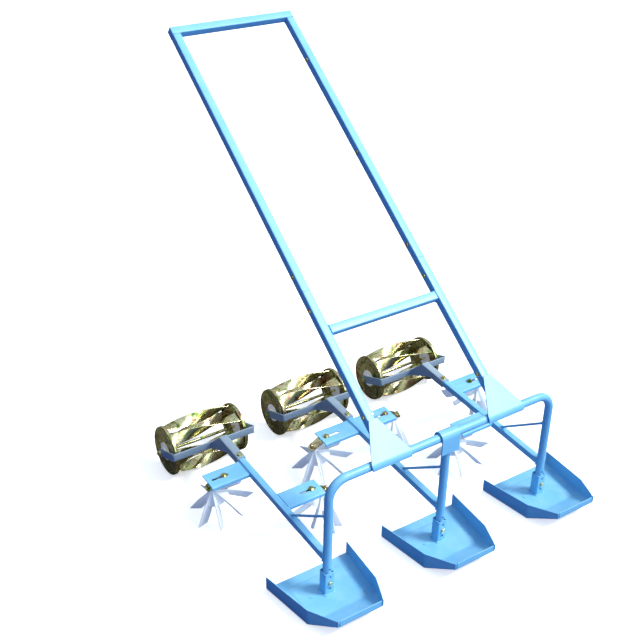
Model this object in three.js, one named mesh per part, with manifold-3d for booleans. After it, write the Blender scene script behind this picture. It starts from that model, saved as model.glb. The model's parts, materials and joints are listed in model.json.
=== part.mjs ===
// Three-row hand-pushed paddy weeder, in millimetres, +Z up.
// The machine travels toward -Y, the operator walks behind it at +Y, and the rows lie side by side along X.
// The origin is on the ground, under the middle strut.
import * as THREE from "three";
import { mergeVertices } from "three/addons/utils/BufferGeometryUtils.js";
import Module from "manifold-3d";

const wasm = await Module();
wasm.setup();

// ---- driving dimensions ----------------------------------------------------
const ROW_PITCH = 300; // rice rows, centre to centre
const FIT = 0.3; // gap left between pieces that touch or are welded
const BOLT_CLEARANCE = 0.35; // each side of a bolt in its hole

// Hex fasteners, in bolt diameters, and the thread left showing past a nut, in millimetres
const HEX_CORNER = 0.95;
const HEAD_HEIGHT = 0.7;
const NUT_HEIGHT = 0.8;
const THREAD_SHOWING = 2;

// Front frame of round pipe
const PIPE_OD = 19;
const PIPE_WALL = 2;
const CROSS_PIPE_HEIGHT = 285;
const BEND_RADIUS = 42;
const STRUT_FOOT = 16; // lower end of each strut above the ground

// Handle of square tube
const UPRIGHT_SIZE = 20;
const UPRIGHT_WALL = 1.5;
const UPRIGHT_SPACING = 309;
const HANDLE_LEAN = 52.6; // degrees back from vertical
const HANDLE_LENGTH = 1110; // from the cross pipe axis to the outer face of the top bar
const CROSSBAR_STATION = 298; // crossbar axis, measured along the uprights
const SPLICE_STATION = 395; // where the upper upright stands on the lower one
const SPLICE_HALF = 62; // how far the splice bar reaches into each upright
const SPLICE_CLEARANCE = 0.35;
const GUSSET_BASE = 100;
const GUSSET_RISE = 86;
const GUSSET_SHEET = 2.5;
const GUSSET_LIP_HEIGHT = 281; // lower edge of the gusset's front lip above the ground

// Saddle that hangs the middle strut on the cross pipe
const SADDLE_WIDTH = 48;
const SADDLE_SHEET = 2.5;
const SADDLE_FRONT_EDGE = 247;
const SADDLE_REAR_EDGE = 272;
const SADDLE_WELD = 8; // width of the weld between the strut and the saddle's front leaf

// Skids
const SKID_SHEET = 2;
const SKID_REAR_HALF = 103;
const SKID_BEND_HALF = 86;
const SKID_NOSE_HALF = 56;
const SKID_REAR_Y = 74;
const SKID_BEND_Y = -56;
const SKID_NOSE_Y = -122;
const SKID_NOSE_RISE = 30;
const SKID_REAR_WALL = 34;
const SKID_BEND_WALL = 40;
const SKID_NOSE_LIP = 17;
const SOCKET_WALL = 1.6;
const SOCKET_CLEARANCE = 0.4; // each side of the strut
const SOCKET_HEIGHT = 57;
const HOLE_PITCH = 15;
const LOWEST_HOLE = 18;
const SKID_BOLT_DIAMETER = 6;
const SKID_DROP = 10; // height setting below and above the middle one
const SKID_LIFT = 12;

// Arms of square tube
const ARM_SIZE = 16;
const ARM_WALL = 1.5;
const ARM_FRONT_HEIGHT = 91.5; // arm axis above the ground at the strut
const ARM_RISE = 4.3; // degrees
const BRACE_DIAMETER = 6;
const BRACE_ARM_STATION = 146;
const BRACE_STRUT_HEIGHT = 202;

// Rotor and its fork
const ROTOR_RADIUS = 60.5;
const ROTOR_LENGTH = 195;
const ROTOR_AXLE_Y = 545;
const ROTOR_SHEET = 2;
const RIM_DEPTH = 9;
const BOSS_RADIUS = 22;
const BOSS_THICKNESS = 8;
const BLADE_COUNT = 6;
const BLADE_WIDTH = 28;
const BLADE_SHEET = 2.5;
const BLADE_INSET = 8.5; // from the discs' edge in to the blades' middle line
const BLADE_TWIST = 180; // degrees from disc to disc
const AXLE_DIAMETER = 8;
const AXLE_CLEARANCE = 0.4;
const COLLAR_RATIO = 1.7; // collar diameter, in axle diameters
const FORK_SHEET = 3;
const FORK_DEPTH = 20;
const FORK_WEB_Y = 475;
const FORK_WEB_HEIGHT = 87;
const FORK_SIDE_GAP = 9; // rotor disc to fork leg
const FORK_EYE = 22; // diameter of the leg's round end
const YOKE_SHEET = 2.2;
const YOKE_SETBACK = 1; // yoke behind the rear star brackets
const YOKE_TOP_LENGTH = 89;
const YOKE_CHEEK_DROP = 1; // lower edge of the cheeks below the arm
const YOKE_CHEEK_RUN = 10; // level stretch of that edge past the end of the arm
const YOKE_LAP = 42; // arm inside the yoke
const YOKE_BOLT_SETBACK = 11; // bolt behind the yoke's front edge
const YOKE_BOLT_DIAMETER = 6;

// Star wheels, their brackets and slotted adjustment
const REAR_STAR_STATION = 322;
const FRONT_STAR_STATION = 184;
const REAR_PLATE_DROP = 4.3; // plate top below the arm's top face
const FRONT_PLATE_DROP = 0.3;
const PLATE_LENGTH = 95;
const PLATE_WIDTH = 50;
const PLATE_SHEET = 3;
const PLATE_LIP = 9;
const SLOT_INNER = 53; // stud centre from the arm axis at the inner end of its travel
const SLOT_TRAVEL = 36;
const STUD_DIAMETER = 6;
const STUD_WELD = 2; // height of the weld that holds the stud under its strap
const HOLDER_SHEET = 3;
const HOLDER_WIDTH = 22;
const HOLDER_BEND = 16; // stud to the bend
const HOLDER_REACH = 24; // bend to the star pin
const STAR_TILT = 30; // degrees of the holder's turned-down leg
const STAR_RADIUS = 68; // to the middle of the blade tips
const STAR_TIP_DEPTH = 69; // from the holder's leg down to the middle of the blade tips
const STAR_BLADES = 8;
const STAR_BLADE_WIDTH = 24;
const STAR_BLADE_ROOT = 14;
const STAR_TIP_SLANT = 6; // how far each corner of a tip stands ahead of its middle, or behind it
const STAR_PHASE = 12; // degrees from the arm's side to the first blade
const STAR_BLADE_SHEET = 2.4;
const STAR_HUB_RADIUS = 9;
const STAR_HUB_LENGTH = 26;
const STAR_PIN_DIAMETER = 5;
const STAR_PIN_HEAD = 3;
const STAR_PLAY = 1; // hub to the leg above it, and to the pin's head below it
const DOME_SEAT = 3.5; // centre of the domed nut above the leg

// ---- finishes ---------------------------------------------------------------
const skyBlue = { color: 0x74b9e8, roughness: 0.38, metalness: 0.0 };
const greyBlue = { color: 0x7b93a8, roughness: 0.45, metalness: 0.0 };
const yellowZinc = { color: 0xc9b45a, roughness: 0.3, metalness: 0.9 };
const whitePlastic = { color: 0xd5dfe8, roughness: 0.5, metalness: 0.0 };

// ---- solids -----------------------------------------------------------------
const ROUND = 12; // sides of a pipe or rod
const SMALL_ROUND = 8; // sides of a bolt or hole
const PAST = 1; // how far a cutting shape runs past the face it opens
const rad = THREE.MathUtils.degToRad;

function solid(geometry) {
  const bare = geometry.index ? geometry.toNonIndexed() : geometry.clone();
  bare.deleteAttribute("normal");
  bare.deleteAttribute("uv");
  const merged = mergeVertices(bare, 1e-4);
  return new wasm.Manifold(
    new wasm.Mesh({
      numProp: 3,
      vertProperties: merged.attributes.position.array,
      triVerts: new Uint32Array(merged.index.array),
    }),
  );
}

function geometryOf(manifold) {
  const mesh = manifold.getMesh();
  const geometry = new THREE.BufferGeometry();
  geometry.setAttribute("position", new THREE.BufferAttribute(new Float32Array(mesh.vertProperties), 3));
  geometry.setIndex(new THREE.BufferAttribute(new Uint32Array(mesh.triVerts), 1));
  geometry.computeVertexNormals();
  return geometry;
}

const join = (...parts) => parts.reduce((sum, part) => sum.add(part));
const cut = (body, ...tools) => tools.reduce((rest, tool) => rest.subtract(tool), body);

// A block from its lowest and highest corners.
function block(x0, y0, z0, x1, y1, z1) {
  const geometry = new THREE.BoxGeometry(x1 - x0, y1 - y0, z1 - z0);
  geometry.translate((x0 + x1) / 2, (y0 + y1) / 2, (z0 + z1) / 2);
  return solid(geometry);
}

// A round bar between two points.
function bar(from, to, radius, sides = ROUND) {
  const start = new THREE.Vector3(...from);
  const run = new THREE.Vector3(...to).sub(start);
  const geometry = new THREE.CylinderGeometry(radius, radius, run.length(), sides);
  geometry.translate(0, run.length() / 2, 0);
  const turn = new THREE.Quaternion().setFromUnitVectors(new THREE.Vector3(0, 1, 0), run.normalize());
  geometry.applyQuaternion(turn);
  geometry.translate(start.x, start.y, start.z);
  return solid(geometry);
}

// A hex bolt on a straight line. at(d) is the point d along the line; the head stands on headFace and the nut
// on nutFace, facing away from each other.
function hexBolt(at, headFace, nutFace, diameter) {
  const away = Math.sign(nutFace - headFace);
  const headEnd = headFace - away * diameter * HEAD_HEIGHT;
  const nutEnd = nutFace + away * diameter * NUT_HEIGHT;
  return join(
    bar(at(headEnd), at(nutEnd + away * THREAD_SHOWING), diameter / 2, SMALL_ROUND),
    bar(at(headEnd), at(headFace), diameter * HEX_CORNER, 6),
    bar(at(nutFace), at(nutEnd), diameter * HEX_CORNER, 6),
  );
}

// A flat outline in the YZ plane, extruded along X from x0 to x1.
function sideProfile(shape, x0, x1, curveSegments = 6) {
  const geometry = new THREE.ExtrudeGeometry(shape, { depth: x1 - x0, bevelEnabled: false, curveSegments });
  geometry.applyMatrix4(new THREE.Matrix4().set(0, 0, 1, x0, 1, 0, 0, 0, 0, 1, 0, 0, 0, 0, 0, 1));
  return solid(geometry);
}

function outline(points) {
  return new THREE.Shape(points.map(([a, b]) => new THREE.Vector2(a, b)));
}

// A six-sided solid from four lower and four upper corners, each list running the same way round.
function hexahedron(lower, upper) {
  const corners = [...lower, ...upper];
  const faces = [[0, 3, 2, 1], [4, 5, 6, 7], [0, 1, 5, 4], [1, 2, 6, 5], [2, 3, 7, 6], [3, 0, 4, 7]];
  const indices = faces.flatMap(([a, b, c, d]) => [a, b, c, a, c, d]);
  const geometry = new THREE.BufferGeometry();
  geometry.setAttribute("position", new THREE.Float32BufferAttribute(corners.flat(), 3));
  geometry.setIndex(indices);
  return solid(geometry);
}

// ---- the assembly -----------------------------------------------------------
const machine = new THREE.Group();

function piece(parent, name, manifold, finish) {
  const mesh = new THREE.Mesh(geometryOf(manifold), new THREE.MeshStandardMaterial(finish));
  mesh.name = name;
  parent.add(mesh);
  return mesh;
}

const pipeRadius = PIPE_OD / 2;
const boreRadius = pipeRadius - PIPE_WALL;
const strutSlotHalf = SKID_BOLT_DIAMETER / 2 + BOLT_CLEARANCE;
const skidBoltHeight = LOWEST_HOLE + HOLE_PITCH;

// Slot for the skid bolt through the foot of a strut, and the plain hole above it.
function strutSlot(x) {
  const low = skidBoltHeight - SKID_DROP - strutSlotHalf;
  const high = skidBoltHeight + SKID_LIFT + strutSlotHalf;
  const upperHole = LOWEST_HOLE + 3 * HOLE_PITCH;
  const through = pipeRadius + PAST;
  const slot = block(x - strutSlotHalf, -through, low, x + strutSlotHalf, through, high);
  const hole = bar([x, -through, upperHole], [x, through, upperHole], strutSlotHalf, SMALL_ROUND);
  return join(slot, hole);
}

// The run of the front pipe: up the left strut, across, and down the right one, with 8 steps in each bend.
class FrontPipeRun extends THREE.Curve {
  constructor() {
    super();
    const reach = ROW_PITCH - BEND_RADIUS;
    const crown = CROSS_PIPE_HEIGHT - BEND_RADIUS;
    const steps = 8;
    const arc = [];
    for (let i = 0; i <= steps; i += 1) {
      const angle = (i / steps) * (Math.PI / 2);
      arc.push([reach + BEND_RADIUS * Math.cos(angle), crown + BEND_RADIUS * Math.sin(angle)]);
    }
    const left = arc.map(([x, z]) => [-x, z]);
    const right = [...arc].reverse();
    this.stations = [[-ROW_PITCH, STRUT_FOOT], ...left, ...right, [ROW_PITCH, STRUT_FOOT]];
  }
  getUtoTmapping(u) {
    return u;
  }
  getPoint(t, target = new THREE.Vector3()) {
    const place = Math.min(Math.max(t, 0), 1) * (this.stations.length - 1);
    const index = Math.min(Math.floor(place), this.stations.length - 2);
    const [xa, za] = this.stations[index];
    const [xb, zb] = this.stations[index + 1];
    const share = place - index;
    return target.set(xa + (xb - xa) * share, 0, za + (zb - za) * share);
  }
}

function circle(radius) {
  return new THREE.Path().absarc(0, 0, radius, 0, 2 * Math.PI, false);
}

function frontPipe() {
  const run = new FrontPipeRun();
  const section = new THREE.Shape(circle(pipeRadius).getPoints(5));
  section.holes.push(new THREE.Path(circle(boreRadius).getPoints(5)));
  const settings = { extrudePath: run, steps: run.stations.length - 1, bevelEnabled: false };
  const pipe = solid(new THREE.ExtrudeGeometry(section, settings));
  return cut(pipe, strutSlot(-ROW_PITCH), strutSlot(ROW_PITCH));
}

// Middle strut with the saddle welded to its upper end. The saddle folds over the cross pipe.
function centreStrut() {
  const inner = pipeRadius + FIT;
  const shell = cut(
    bar([0, 0, STRUT_FOOT], [0, 0, CROSS_PIPE_HEIGHT], pipeRadius),
    bar([0, 0, STRUT_FOOT - PAST], [0, 0, CROSS_PIPE_HEIGHT + PAST], boreRadius),
    bar([-SADDLE_WIDTH, 0, CROSS_PIPE_HEIGHT], [SADDLE_WIDTH, 0, CROSS_PIPE_HEIGHT], inner, 2 * ROUND),
    strutSlot(0),
  );
  const outer = inner + SADDLE_SHEET;
  const shape = new THREE.Shape();
  shape.moveTo(-outer, SADDLE_FRONT_EDGE);
  shape.lineTo(-outer, CROSS_PIPE_HEIGHT);
  shape.absarc(0, CROSS_PIPE_HEIGHT, outer, Math.PI, 0, true);
  shape.lineTo(outer, SADDLE_REAR_EDGE);
  shape.lineTo(inner, SADDLE_REAR_EDGE);
  shape.lineTo(inner, CROSS_PIPE_HEIGHT);
  shape.absarc(0, CROSS_PIPE_HEIGHT, inner, 0, Math.PI, false);
  shape.lineTo(-inner, SADDLE_FRONT_EDGE);
  const saddle = sideProfile(shape, -SADDLE_WIDTH / 2, SADDLE_WIDTH / 2);
  const weldHalf = SADDLE_WELD / 2;
  const weldLow = SADDLE_FRONT_EDGE + weldHalf;
  const weldHigh = CROSS_PIPE_HEIGHT - pipeRadius - weldHalf;
  const weldDepth = -pipeRadius + PIPE_WALL / 2;
  const weld = block(-weldHalf, -inner - SADDLE_SHEET / 2, weldLow, weldHalf, weldDepth, weldHigh);
  return join(shell, saddle, weld);
}

// ---- handle, drawn in its own plane: +Z runs up the uprights, -Y is the front face ----
const handle = new THREE.Group();
handle.position.set(0, 0, CROSS_PIPE_HEIGHT);
handle.rotation.x = -rad(HANDLE_LEAN);
machine.add(handle);

const uprightHalf = UPRIGHT_SIZE / 2;
const uprightFoot = pipeRadius + FIT;

// The uprights' front faces stand level with the cross pipe, or proud of it, so that the gussets lie on both.
const frontFace = Math.max(uprightHalf, pipeRadius);
const tubes = new THREE.Group();
tubes.position.y = uprightHalf - frontFace;
handle.add(tubes);

// A square tube along Z with both ends open.
function squareTube(x, size, wall, z0, z1) {
  const half = size / 2;
  const bore = half - wall;
  return cut(
    block(x - half, -half, z0, x + half, half, z1),
    block(x - bore, -bore, z0 - PAST, x + bore, bore, z1 + PAST),
  );
}

function handleSide(side, x) {
  const lower = squareTube(x, UPRIGHT_SIZE, UPRIGHT_WALL, uprightFoot, SPLICE_STATION - FIT / 2);
  piece(tubes, `${side}_lower_upright`, lower, skyBlue);
  const upperEnd = HANDLE_LENGTH - UPRIGHT_SIZE - FIT;
  const upper = squareTube(x, UPRIGHT_SIZE, UPRIGHT_WALL, SPLICE_STATION + FIT / 2, upperEnd);
  piece(tubes, `${side}_upper_upright`, upper, skyBlue);
  const core = uprightHalf - UPRIGHT_WALL - SPLICE_CLEARANCE;
  const splice = squareTube(x, 2 * core, UPRIGHT_WALL, SPLICE_STATION - SPLICE_HALF, SPLICE_STATION + SPLICE_HALF);
  piece(tubes, `${side}_splice_tube`, splice, yellowZinc);
}

// Flared gusset on the front face of an upright. Below the flare it rolls round the cross pipe and hangs down
// as a lip. The side section and the flare are drawn whole and the plate is what they have in common.
function gusset(x) {
  const inner = frontFace + FIT;
  const outer = inner + GUSSET_SHEET;
  const lean = rad(HANDLE_LEAN);
  const drop = CROSS_PIPE_HEIGHT - GUSSET_LIP_HEIGHT;
  const hang = (radius) => [
    -radius * Math.cos(lean) + drop * Math.sin(lean),
    -radius * Math.sin(lean) - drop * Math.cos(lean),
  ];
  const section = new THREE.Shape();
  section.moveTo(-inner, GUSSET_RISE);
  section.lineTo(-outer, GUSSET_RISE);
  section.absarc(0, 0, outer, Math.PI, Math.PI + lean, false);
  section.lineTo(...hang(outer));
  section.lineTo(...hang(inner));
  section.absarc(0, 0, inner, Math.PI + lean, Math.PI, true);
  const folded = sideProfile(section, x - GUSSET_BASE / 2, x + GUSSET_BASE / 2);
  const clearOfRoll = 3 * outer;
  const baseHalf = GUSSET_BASE / 2 + PAST;
  const flare = new THREE.ExtrudeGeometry(outline([
    [x - baseHalf, -clearOfRoll],
    [x + baseHalf, -clearOfRoll],
    [x + baseHalf, 0],
    [x + uprightHalf, GUSSET_RISE + PAST],
    [x - uprightHalf, GUSSET_RISE + PAST],
    [x - baseHalf, 0],
  ]), { depth: 2 * clearOfRoll, bevelEnabled: false });
  flare.rotateX(Math.PI / 2);
  flare.translate(0, clearOfRoll, 0);
  return folded.intersect(solid(flare));
}

// A square tube along X with both ends open.
function crossTube(x0, x1, z, size, wall) {
  const half = size / 2;
  const bore = half - wall;
  return cut(
    block(x0, -half, z - half, x1, half, z + half),
    block(x0 - PAST, -bore, z - bore, x1 + PAST, bore, z + bore),
  );
}

const uprightX = UPRIGHT_SPACING / 2;
for (const [side, x] of [["left", -uprightX], ["right", uprightX]]) {
  handleSide(side, x);
  piece(handle, `${side}_gusset`, gusset(x), skyBlue);
}
const crossbarEnd = uprightX - uprightHalf - FIT;
const crossbar = crossTube(-crossbarEnd, crossbarEnd, CROSSBAR_STATION, UPRIGHT_SIZE, UPRIGHT_WALL);
piece(tubes, "crossbar", crossbar, skyBlue);
const topBarEnd = uprightX + uprightHalf;
const topBar = crossTube(-topBarEnd, topBarEnd, HANDLE_LENGTH - uprightHalf, UPRIGHT_SIZE, UPRIGHT_WALL);
piece(tubes, "top_bar", topBar, skyBlue);

piece(machine, "front_pipe", frontPipe(), skyBlue);
piece(machine, "centre_strut", centreStrut(), skyBlue);

// ---- skids ------------------------------------------------------------------

// The outline moved inwards by a distance, corner by corner.
function inset(points, distance) {
  const lines = points.slice(1).map(([x1, y1], i) => {
    const [x0, y0] = points[i];
    const length = Math.hypot(x1 - x0, y1 - y0);
    const normal = [-(y1 - y0) / length, (x1 - x0) / length];
    return [x0 + normal[0] * distance, y0 + normal[1] * distance, x1 - x0, y1 - y0];
  });
  const first = lines[0];
  const last = lines[lines.length - 1];
  const ends = [
    [first[0] + (first[2] * (points[0][1] - first[1])) / first[3], points[0][1]],
    [last[0] + (last[2] * (points.at(-1)[1] - last[1])) / last[3], points.at(-1)[1]],
  ];
  const corners = lines.slice(1).map(([x1, y1, dx1, dy1], i) => {
    const [x0, y0, dx0, dy0] = lines[i];
    const share = ((x1 - x0) * dy1 - (y1 - y0) * dx1) / (dx0 * dy1 - dy0 * dx1);
    return [x0 + dx0 * share, y0 + dy0 * share];
  });
  return [ends[0], ...corners, ends[1]];
}

// Folded sheet tray: flat sole, rising nose, side walls and a low lip across the nose. The rear is open.
function skidTray() {
  const side = [
    [SKID_REAR_HALF, SKID_REAR_Y, 0, SKID_REAR_WALL],
    [SKID_BEND_HALF, SKID_BEND_Y, 0, SKID_BEND_WALL],
    [SKID_NOSE_HALF, SKID_NOSE_Y, SKID_NOSE_RISE, SKID_NOSE_RISE + SKID_NOSE_LIP],
  ];
  const stations = [...side.map(([x, ...rest]) => [-x, ...rest]), ...[...side].reverse()];
  const outer = stations.map(([x, y]) => [x, y]);
  const inner = inset(outer, SKID_SHEET);
  const walls = stations.slice(1).map((station, i) => {
    const before = stations[i];
    const foot = [before[2], station[2], station[2], before[2]];
    const rim = [before[3], station[3], station[3], before[3]];
    const plan = [outer[i], outer[i + 1], inner[i + 1], inner[i]];
    return hexahedron(
      plan.map(([x, y], k) => [x, y, foot[k]]),
      plan.map(([x, y], k) => [x, y, rim[k]]),
    );
  });
  const deck = side.slice(1).map(([x1, y1, z1], i) => {
    const [x0, y0, z0] = side[i];
    const plan = [[-x1, y1, z1], [x1, y1, z1], [x0, y0, z0], [-x0, y0, z0]];
    return hexahedron(plan, plan.map(([x, y, z]) => [x, y, z + SKID_SHEET]));
  });
  return join(...deck, ...walls);
}

const socketHalf = pipeRadius + SOCKET_CLEARANCE + SOCKET_WALL;

// Upright square socket with a column of holes from front to back, welded to the sole.
function skidSocket() {
  const foot = SKID_SHEET / 2;
  const top = SKID_SHEET + SOCKET_HEIGHT;
  const bore = socketHalf - SOCKET_WALL;
  const shell = cut(
    block(-socketHalf, -socketHalf, foot, socketHalf, socketHalf, top),
    block(-bore, -bore, foot - PAST, bore, bore, top + PAST),
  );
  const through = socketHalf + PAST;
  const holes = [];
  for (let z = LOWEST_HOLE; z < top - HOLE_PITCH / 2; z += HOLE_PITCH) {
    holes.push(bar([0, -through, z], [0, through, z], strutSlotHalf, SMALL_ROUND));
  }
  return cut(shell, ...holes);
}

// Bolt through the socket and the strut's slot, with its nut behind.
function skidBolt() {
  const face = socketHalf + FIT;
  return hexBolt((y) => [0, y, skidBoltHeight], -face, face, SKID_BOLT_DIAMETER);
}

// ---- arm, yoke and fork, drawn along the arm: +Y runs back along its axis ----
const rise = rad(ARM_RISE);
const armHalf = ARM_SIZE / 2;
const yokeStart = REAR_STAR_STATION + PLATE_WIDTH / 2 + YOKE_SETBACK;
const yokeStop = yokeStart + YOKE_TOP_LENGTH;
const yokeBoltStation = yokeStart + YOKE_BOLT_SETBACK;
const armEnd = yokeStart + YOKE_LAP;

// A place given by its distance back and its height above the ground, in the arm's own frame.
function alongArm(y, z) {
  const up = z - ARM_FRONT_HEIGHT;
  return [y * Math.cos(rise) + up * Math.sin(rise), up * Math.cos(rise) - y * Math.sin(rise)];
}

// The yoke bolt's hole, from one height to another.
function yokeBoltHole(low, high) {
  const radius = YOKE_BOLT_DIAMETER / 2 + BOLT_CLEARANCE;
  return bar([0, yokeBoltStation, low], [0, yokeBoltStation, high], radius, SMALL_ROUND);
}

function armTube() {
  const front = pipeRadius + 2 * FIT + armHalf * Math.tan(rise);
  const bore = armHalf - ARM_WALL;
  return cut(
    block(-armHalf, front, -armHalf, armHalf, armEnd, armHalf),
    block(-bore, front - PAST, -bore, bore, armEnd + PAST, bore),
    yokeBoltHole(-armHalf - PAST, armHalf + PAST),
  );
}

// Brace from the strut down to the top of the arm, drawn in the row's frame and trimmed by both.
function braceRod() {
  const reach = armHalf + FIT;
  const armSpace = new THREE.BoxGeometry(2 * reach, 2 * BRACE_ARM_STATION, 2 * reach);
  armSpace.translate(0, BRACE_ARM_STATION, 0);
  armSpace.rotateX(rise);
  armSpace.translate(0, 0, ARM_FRONT_HEIGHT);
  const footY = BRACE_ARM_STATION * Math.cos(rise);
  const footZ = ARM_FRONT_HEIGHT + BRACE_ARM_STATION * Math.sin(rise);
  return cut(
    bar([0, 0, BRACE_STRUT_HEIGHT], [0, footY, footZ], BRACE_DIAMETER / 2, SMALL_ROUND),
    bar([0, 0, footZ], [0, 0, CROSS_PIPE_HEIGHT], pipeRadius + FIT),
    solid(armSpace),
  );
}

const yokeInner = armHalf + FIT;
const yokeOuter = yokeInner + YOKE_SHEET;
const forkInnerX = ROTOR_LENGTH / 2 + FORK_SIDE_GAP;
const [webY, webZ] = alongArm(FORK_WEB_Y, FORK_WEB_HEIGHT);
const [axleY, axleZ] = alongArm(ROTOR_AXLE_Y, ROTOR_RADIUS);
const axleRadius = AXLE_DIAMETER / 2;

// Fork leg from the web to the axle, with a round end and the axle hole.
function forkLeg(x0, x1) {
  const half = FORK_DEPTH / 2;
  const slope = Math.atan2(axleZ - webZ, axleY - webY);
  const shape = new THREE.Shape();
  shape.moveTo(webY, webZ - half);
  shape.lineTo(webY, webZ + half);
  shape.absarc(axleY, axleZ, FORK_EYE / 2, slope + Math.PI / 2, slope - Math.PI / 2, true);
  shape.holes.push(new THREE.Path().absarc(axleY, axleZ, axleRadius + BOLT_CLEARANCE, 0, 2 * Math.PI, false));
  return sideProfile(shape, x0, x1);
}

// Channel that sleeves the arm, with its cheeks carried down to the web of the fork.
function rotorYoke() {
  const half = FORK_DEPTH / 2;
  const low = -armHalf - YOKE_CHEEK_DROP;
  const cheekEnd = webY + FORK_SHEET / 2;
  const cheek = outline([
    [yokeStart, low],
    [armEnd + YOKE_CHEEK_RUN, low],
    [cheekEnd, webZ - half],
    [cheekEnd, webZ + half],
    [yokeStop, yokeOuter],
    [yokeStart, yokeOuter],
  ]);
  const outerX = forkInnerX + FORK_SHEET;
  const channel = join(
    block(-yokeOuter, yokeStart, yokeInner, yokeOuter, yokeStop, yokeOuter),
    sideProfile(cheek, -yokeOuter, -yokeInner),
    sideProfile(cheek, yokeInner, yokeOuter),
    block(-outerX, webY, webZ - half, outerX, webY + FORK_SHEET, webZ + half),
    forkLeg(-outerX, -forkInnerX),
    forkLeg(forkInnerX, outerX),
  );
  return cut(channel, yokeBoltHole(0, yokeOuter + PAST));
}

function yokeBolt() {
  return hexBolt((z) => [0, yokeBoltStation, z], yokeOuter + FIT, -armHalf - FIT, YOKE_BOLT_DIAMETER);
}

// ---- rotor, drawn about its axle along X -------------------------------------
const ROTOR_SIDES = 16;
const TWIST_STEPS = 12;
const bossOut = BOSS_THICKNESS / 2;

// End disc with a rolled rim turned inwards and a boss for the axle, for the side that faces +X or -X.
function rotorEnd(side) {
  const face = ROTOR_LENGTH / 2;
  const bore = axleRadius + AXLE_CLEARANCE;
  const profile = [
    [bore, face + bossOut],
    [bore, face - bossOut],
    [BOSS_RADIUS, face - bossOut],
    [BOSS_RADIUS, face - ROTOR_SHEET],
    [ROTOR_RADIUS - ROTOR_SHEET, face - ROTOR_SHEET],
    [ROTOR_RADIUS - ROTOR_SHEET, face - RIM_DEPTH],
    [ROTOR_RADIUS, face - RIM_DEPTH],
    [ROTOR_RADIUS, face],
    [BOSS_RADIUS, face],
    [BOSS_RADIUS, face + bossOut],
    [bore, face + bossOut],
  ];
  const geometry = new THREE.LatheGeometry(profile.map(([r, x]) => new THREE.Vector2(r, x)), ROTOR_SIDES);
  geometry.rotateZ((-side * Math.PI) / 2);
  return solid(geometry);
}

// One flat strip from disc to disc, twisted about its own middle line.
function rotorBlade(index) {
  const length = ROTOR_LENGTH - ROTOR_SHEET;
  const geometry = new THREE.BoxGeometry(length, BLADE_SHEET, BLADE_WIDTH, TWIST_STEPS, 1, 1);
  const place = geometry.attributes.position;
  const around = ((index + 0.5) / BLADE_COUNT) * 2 * Math.PI; // two blades stand either side of the lowest point
  for (let i = 0; i < place.count; i += 1) {
    const x = place.getX(i);
    const turn = Math.PI / 2 - rad(BLADE_TWIST) * (x / length);
    const across = place.getY(i);
    const along = place.getZ(i);
    const radial = ROTOR_RADIUS - BLADE_INSET + across * Math.cos(turn) + along * Math.sin(turn);
    const tangent = across * Math.sin(turn) - along * Math.cos(turn);
    place.setXYZ(
      i, x,
      tangent * Math.cos(around) - radial * Math.sin(around),
      tangent * Math.sin(around) + radial * Math.cos(around),
    );
  }
  return solid(geometry);
}

function rotorDrum() {
  const blades = Array.from({ length: BLADE_COUNT }, (_, i) => rotorBlade(i));
  return join(rotorEnd(1), rotorEnd(-1), ...blades);
}

// Axle with a nut outside each fork leg and a collar between each leg and the drum.
function rotorAxle() {
  const legOut = forkInnerX + FORK_SHEET + FIT;
  const nutOut = legOut + AXLE_DIAMETER * NUT_HEIGHT;
  const end = nutOut + THREAD_SHOWING;
  const collarIn = ROTOR_LENGTH / 2 + bossOut + AXLE_CLEARANCE;
  const collarOut = forkInnerX - FIT;
  const parts = [bar([-end, 0, 0], [end, 0, 0], axleRadius)];
  for (const side of [-1, 1]) {
    parts.push(bar([side * legOut, 0, 0], [side * nutOut, 0, 0], AXLE_DIAMETER * HEX_CORNER, 6));
    parts.push(bar([side * collarIn, 0, 0], [side * collarOut, 0, 0], axleRadius * COLLAR_RATIO));
  }
  return join(...parts);
}

// ---- star wheels and their brackets ------------------------------------------
const studRadius = STUD_DIAMETER / 2;
const slotHalf = studRadius + BOLT_CLEARANCE;

// Slotted plate with a folded front edge. Its origin is on the arm axis, level with the plate's top.
function starBracket(side) {
  const [x0, x1] = [armHalf + FIT, armHalf + PLATE_LENGTH].map((x) => side * x).sort((a, b) => a - b);
  const half = PLATE_WIDTH / 2;
  const slotEnds = [SLOT_INNER, SLOT_INNER + SLOT_TRAVEL].map((x) => side * x).sort((a, b) => a - b);
  const under = -PLATE_SHEET - PAST;
  const rounds = slotEnds.map((x) => bar([x, 0, under], [x, 0, PAST], slotHalf, SMALL_ROUND));
  const slot = block(slotEnds[0], -slotHalf, under, slotEnds[1], slotHalf, PAST);
  const plate = join(
    block(x0, -half, -PLATE_SHEET, x1, half, 0),
    block(x0, -half, -PLATE_LIP, x1, -half + PLATE_SHEET, 0),
  );
  return cut(plate, slot, ...rounds);
}

const strapMiddle = -(PLATE_SHEET + FIT + HOLDER_SHEET / 2);
const tilt = rad(STAR_TILT);
const starPinRadius = STAR_PIN_DIAMETER / 2;

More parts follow.
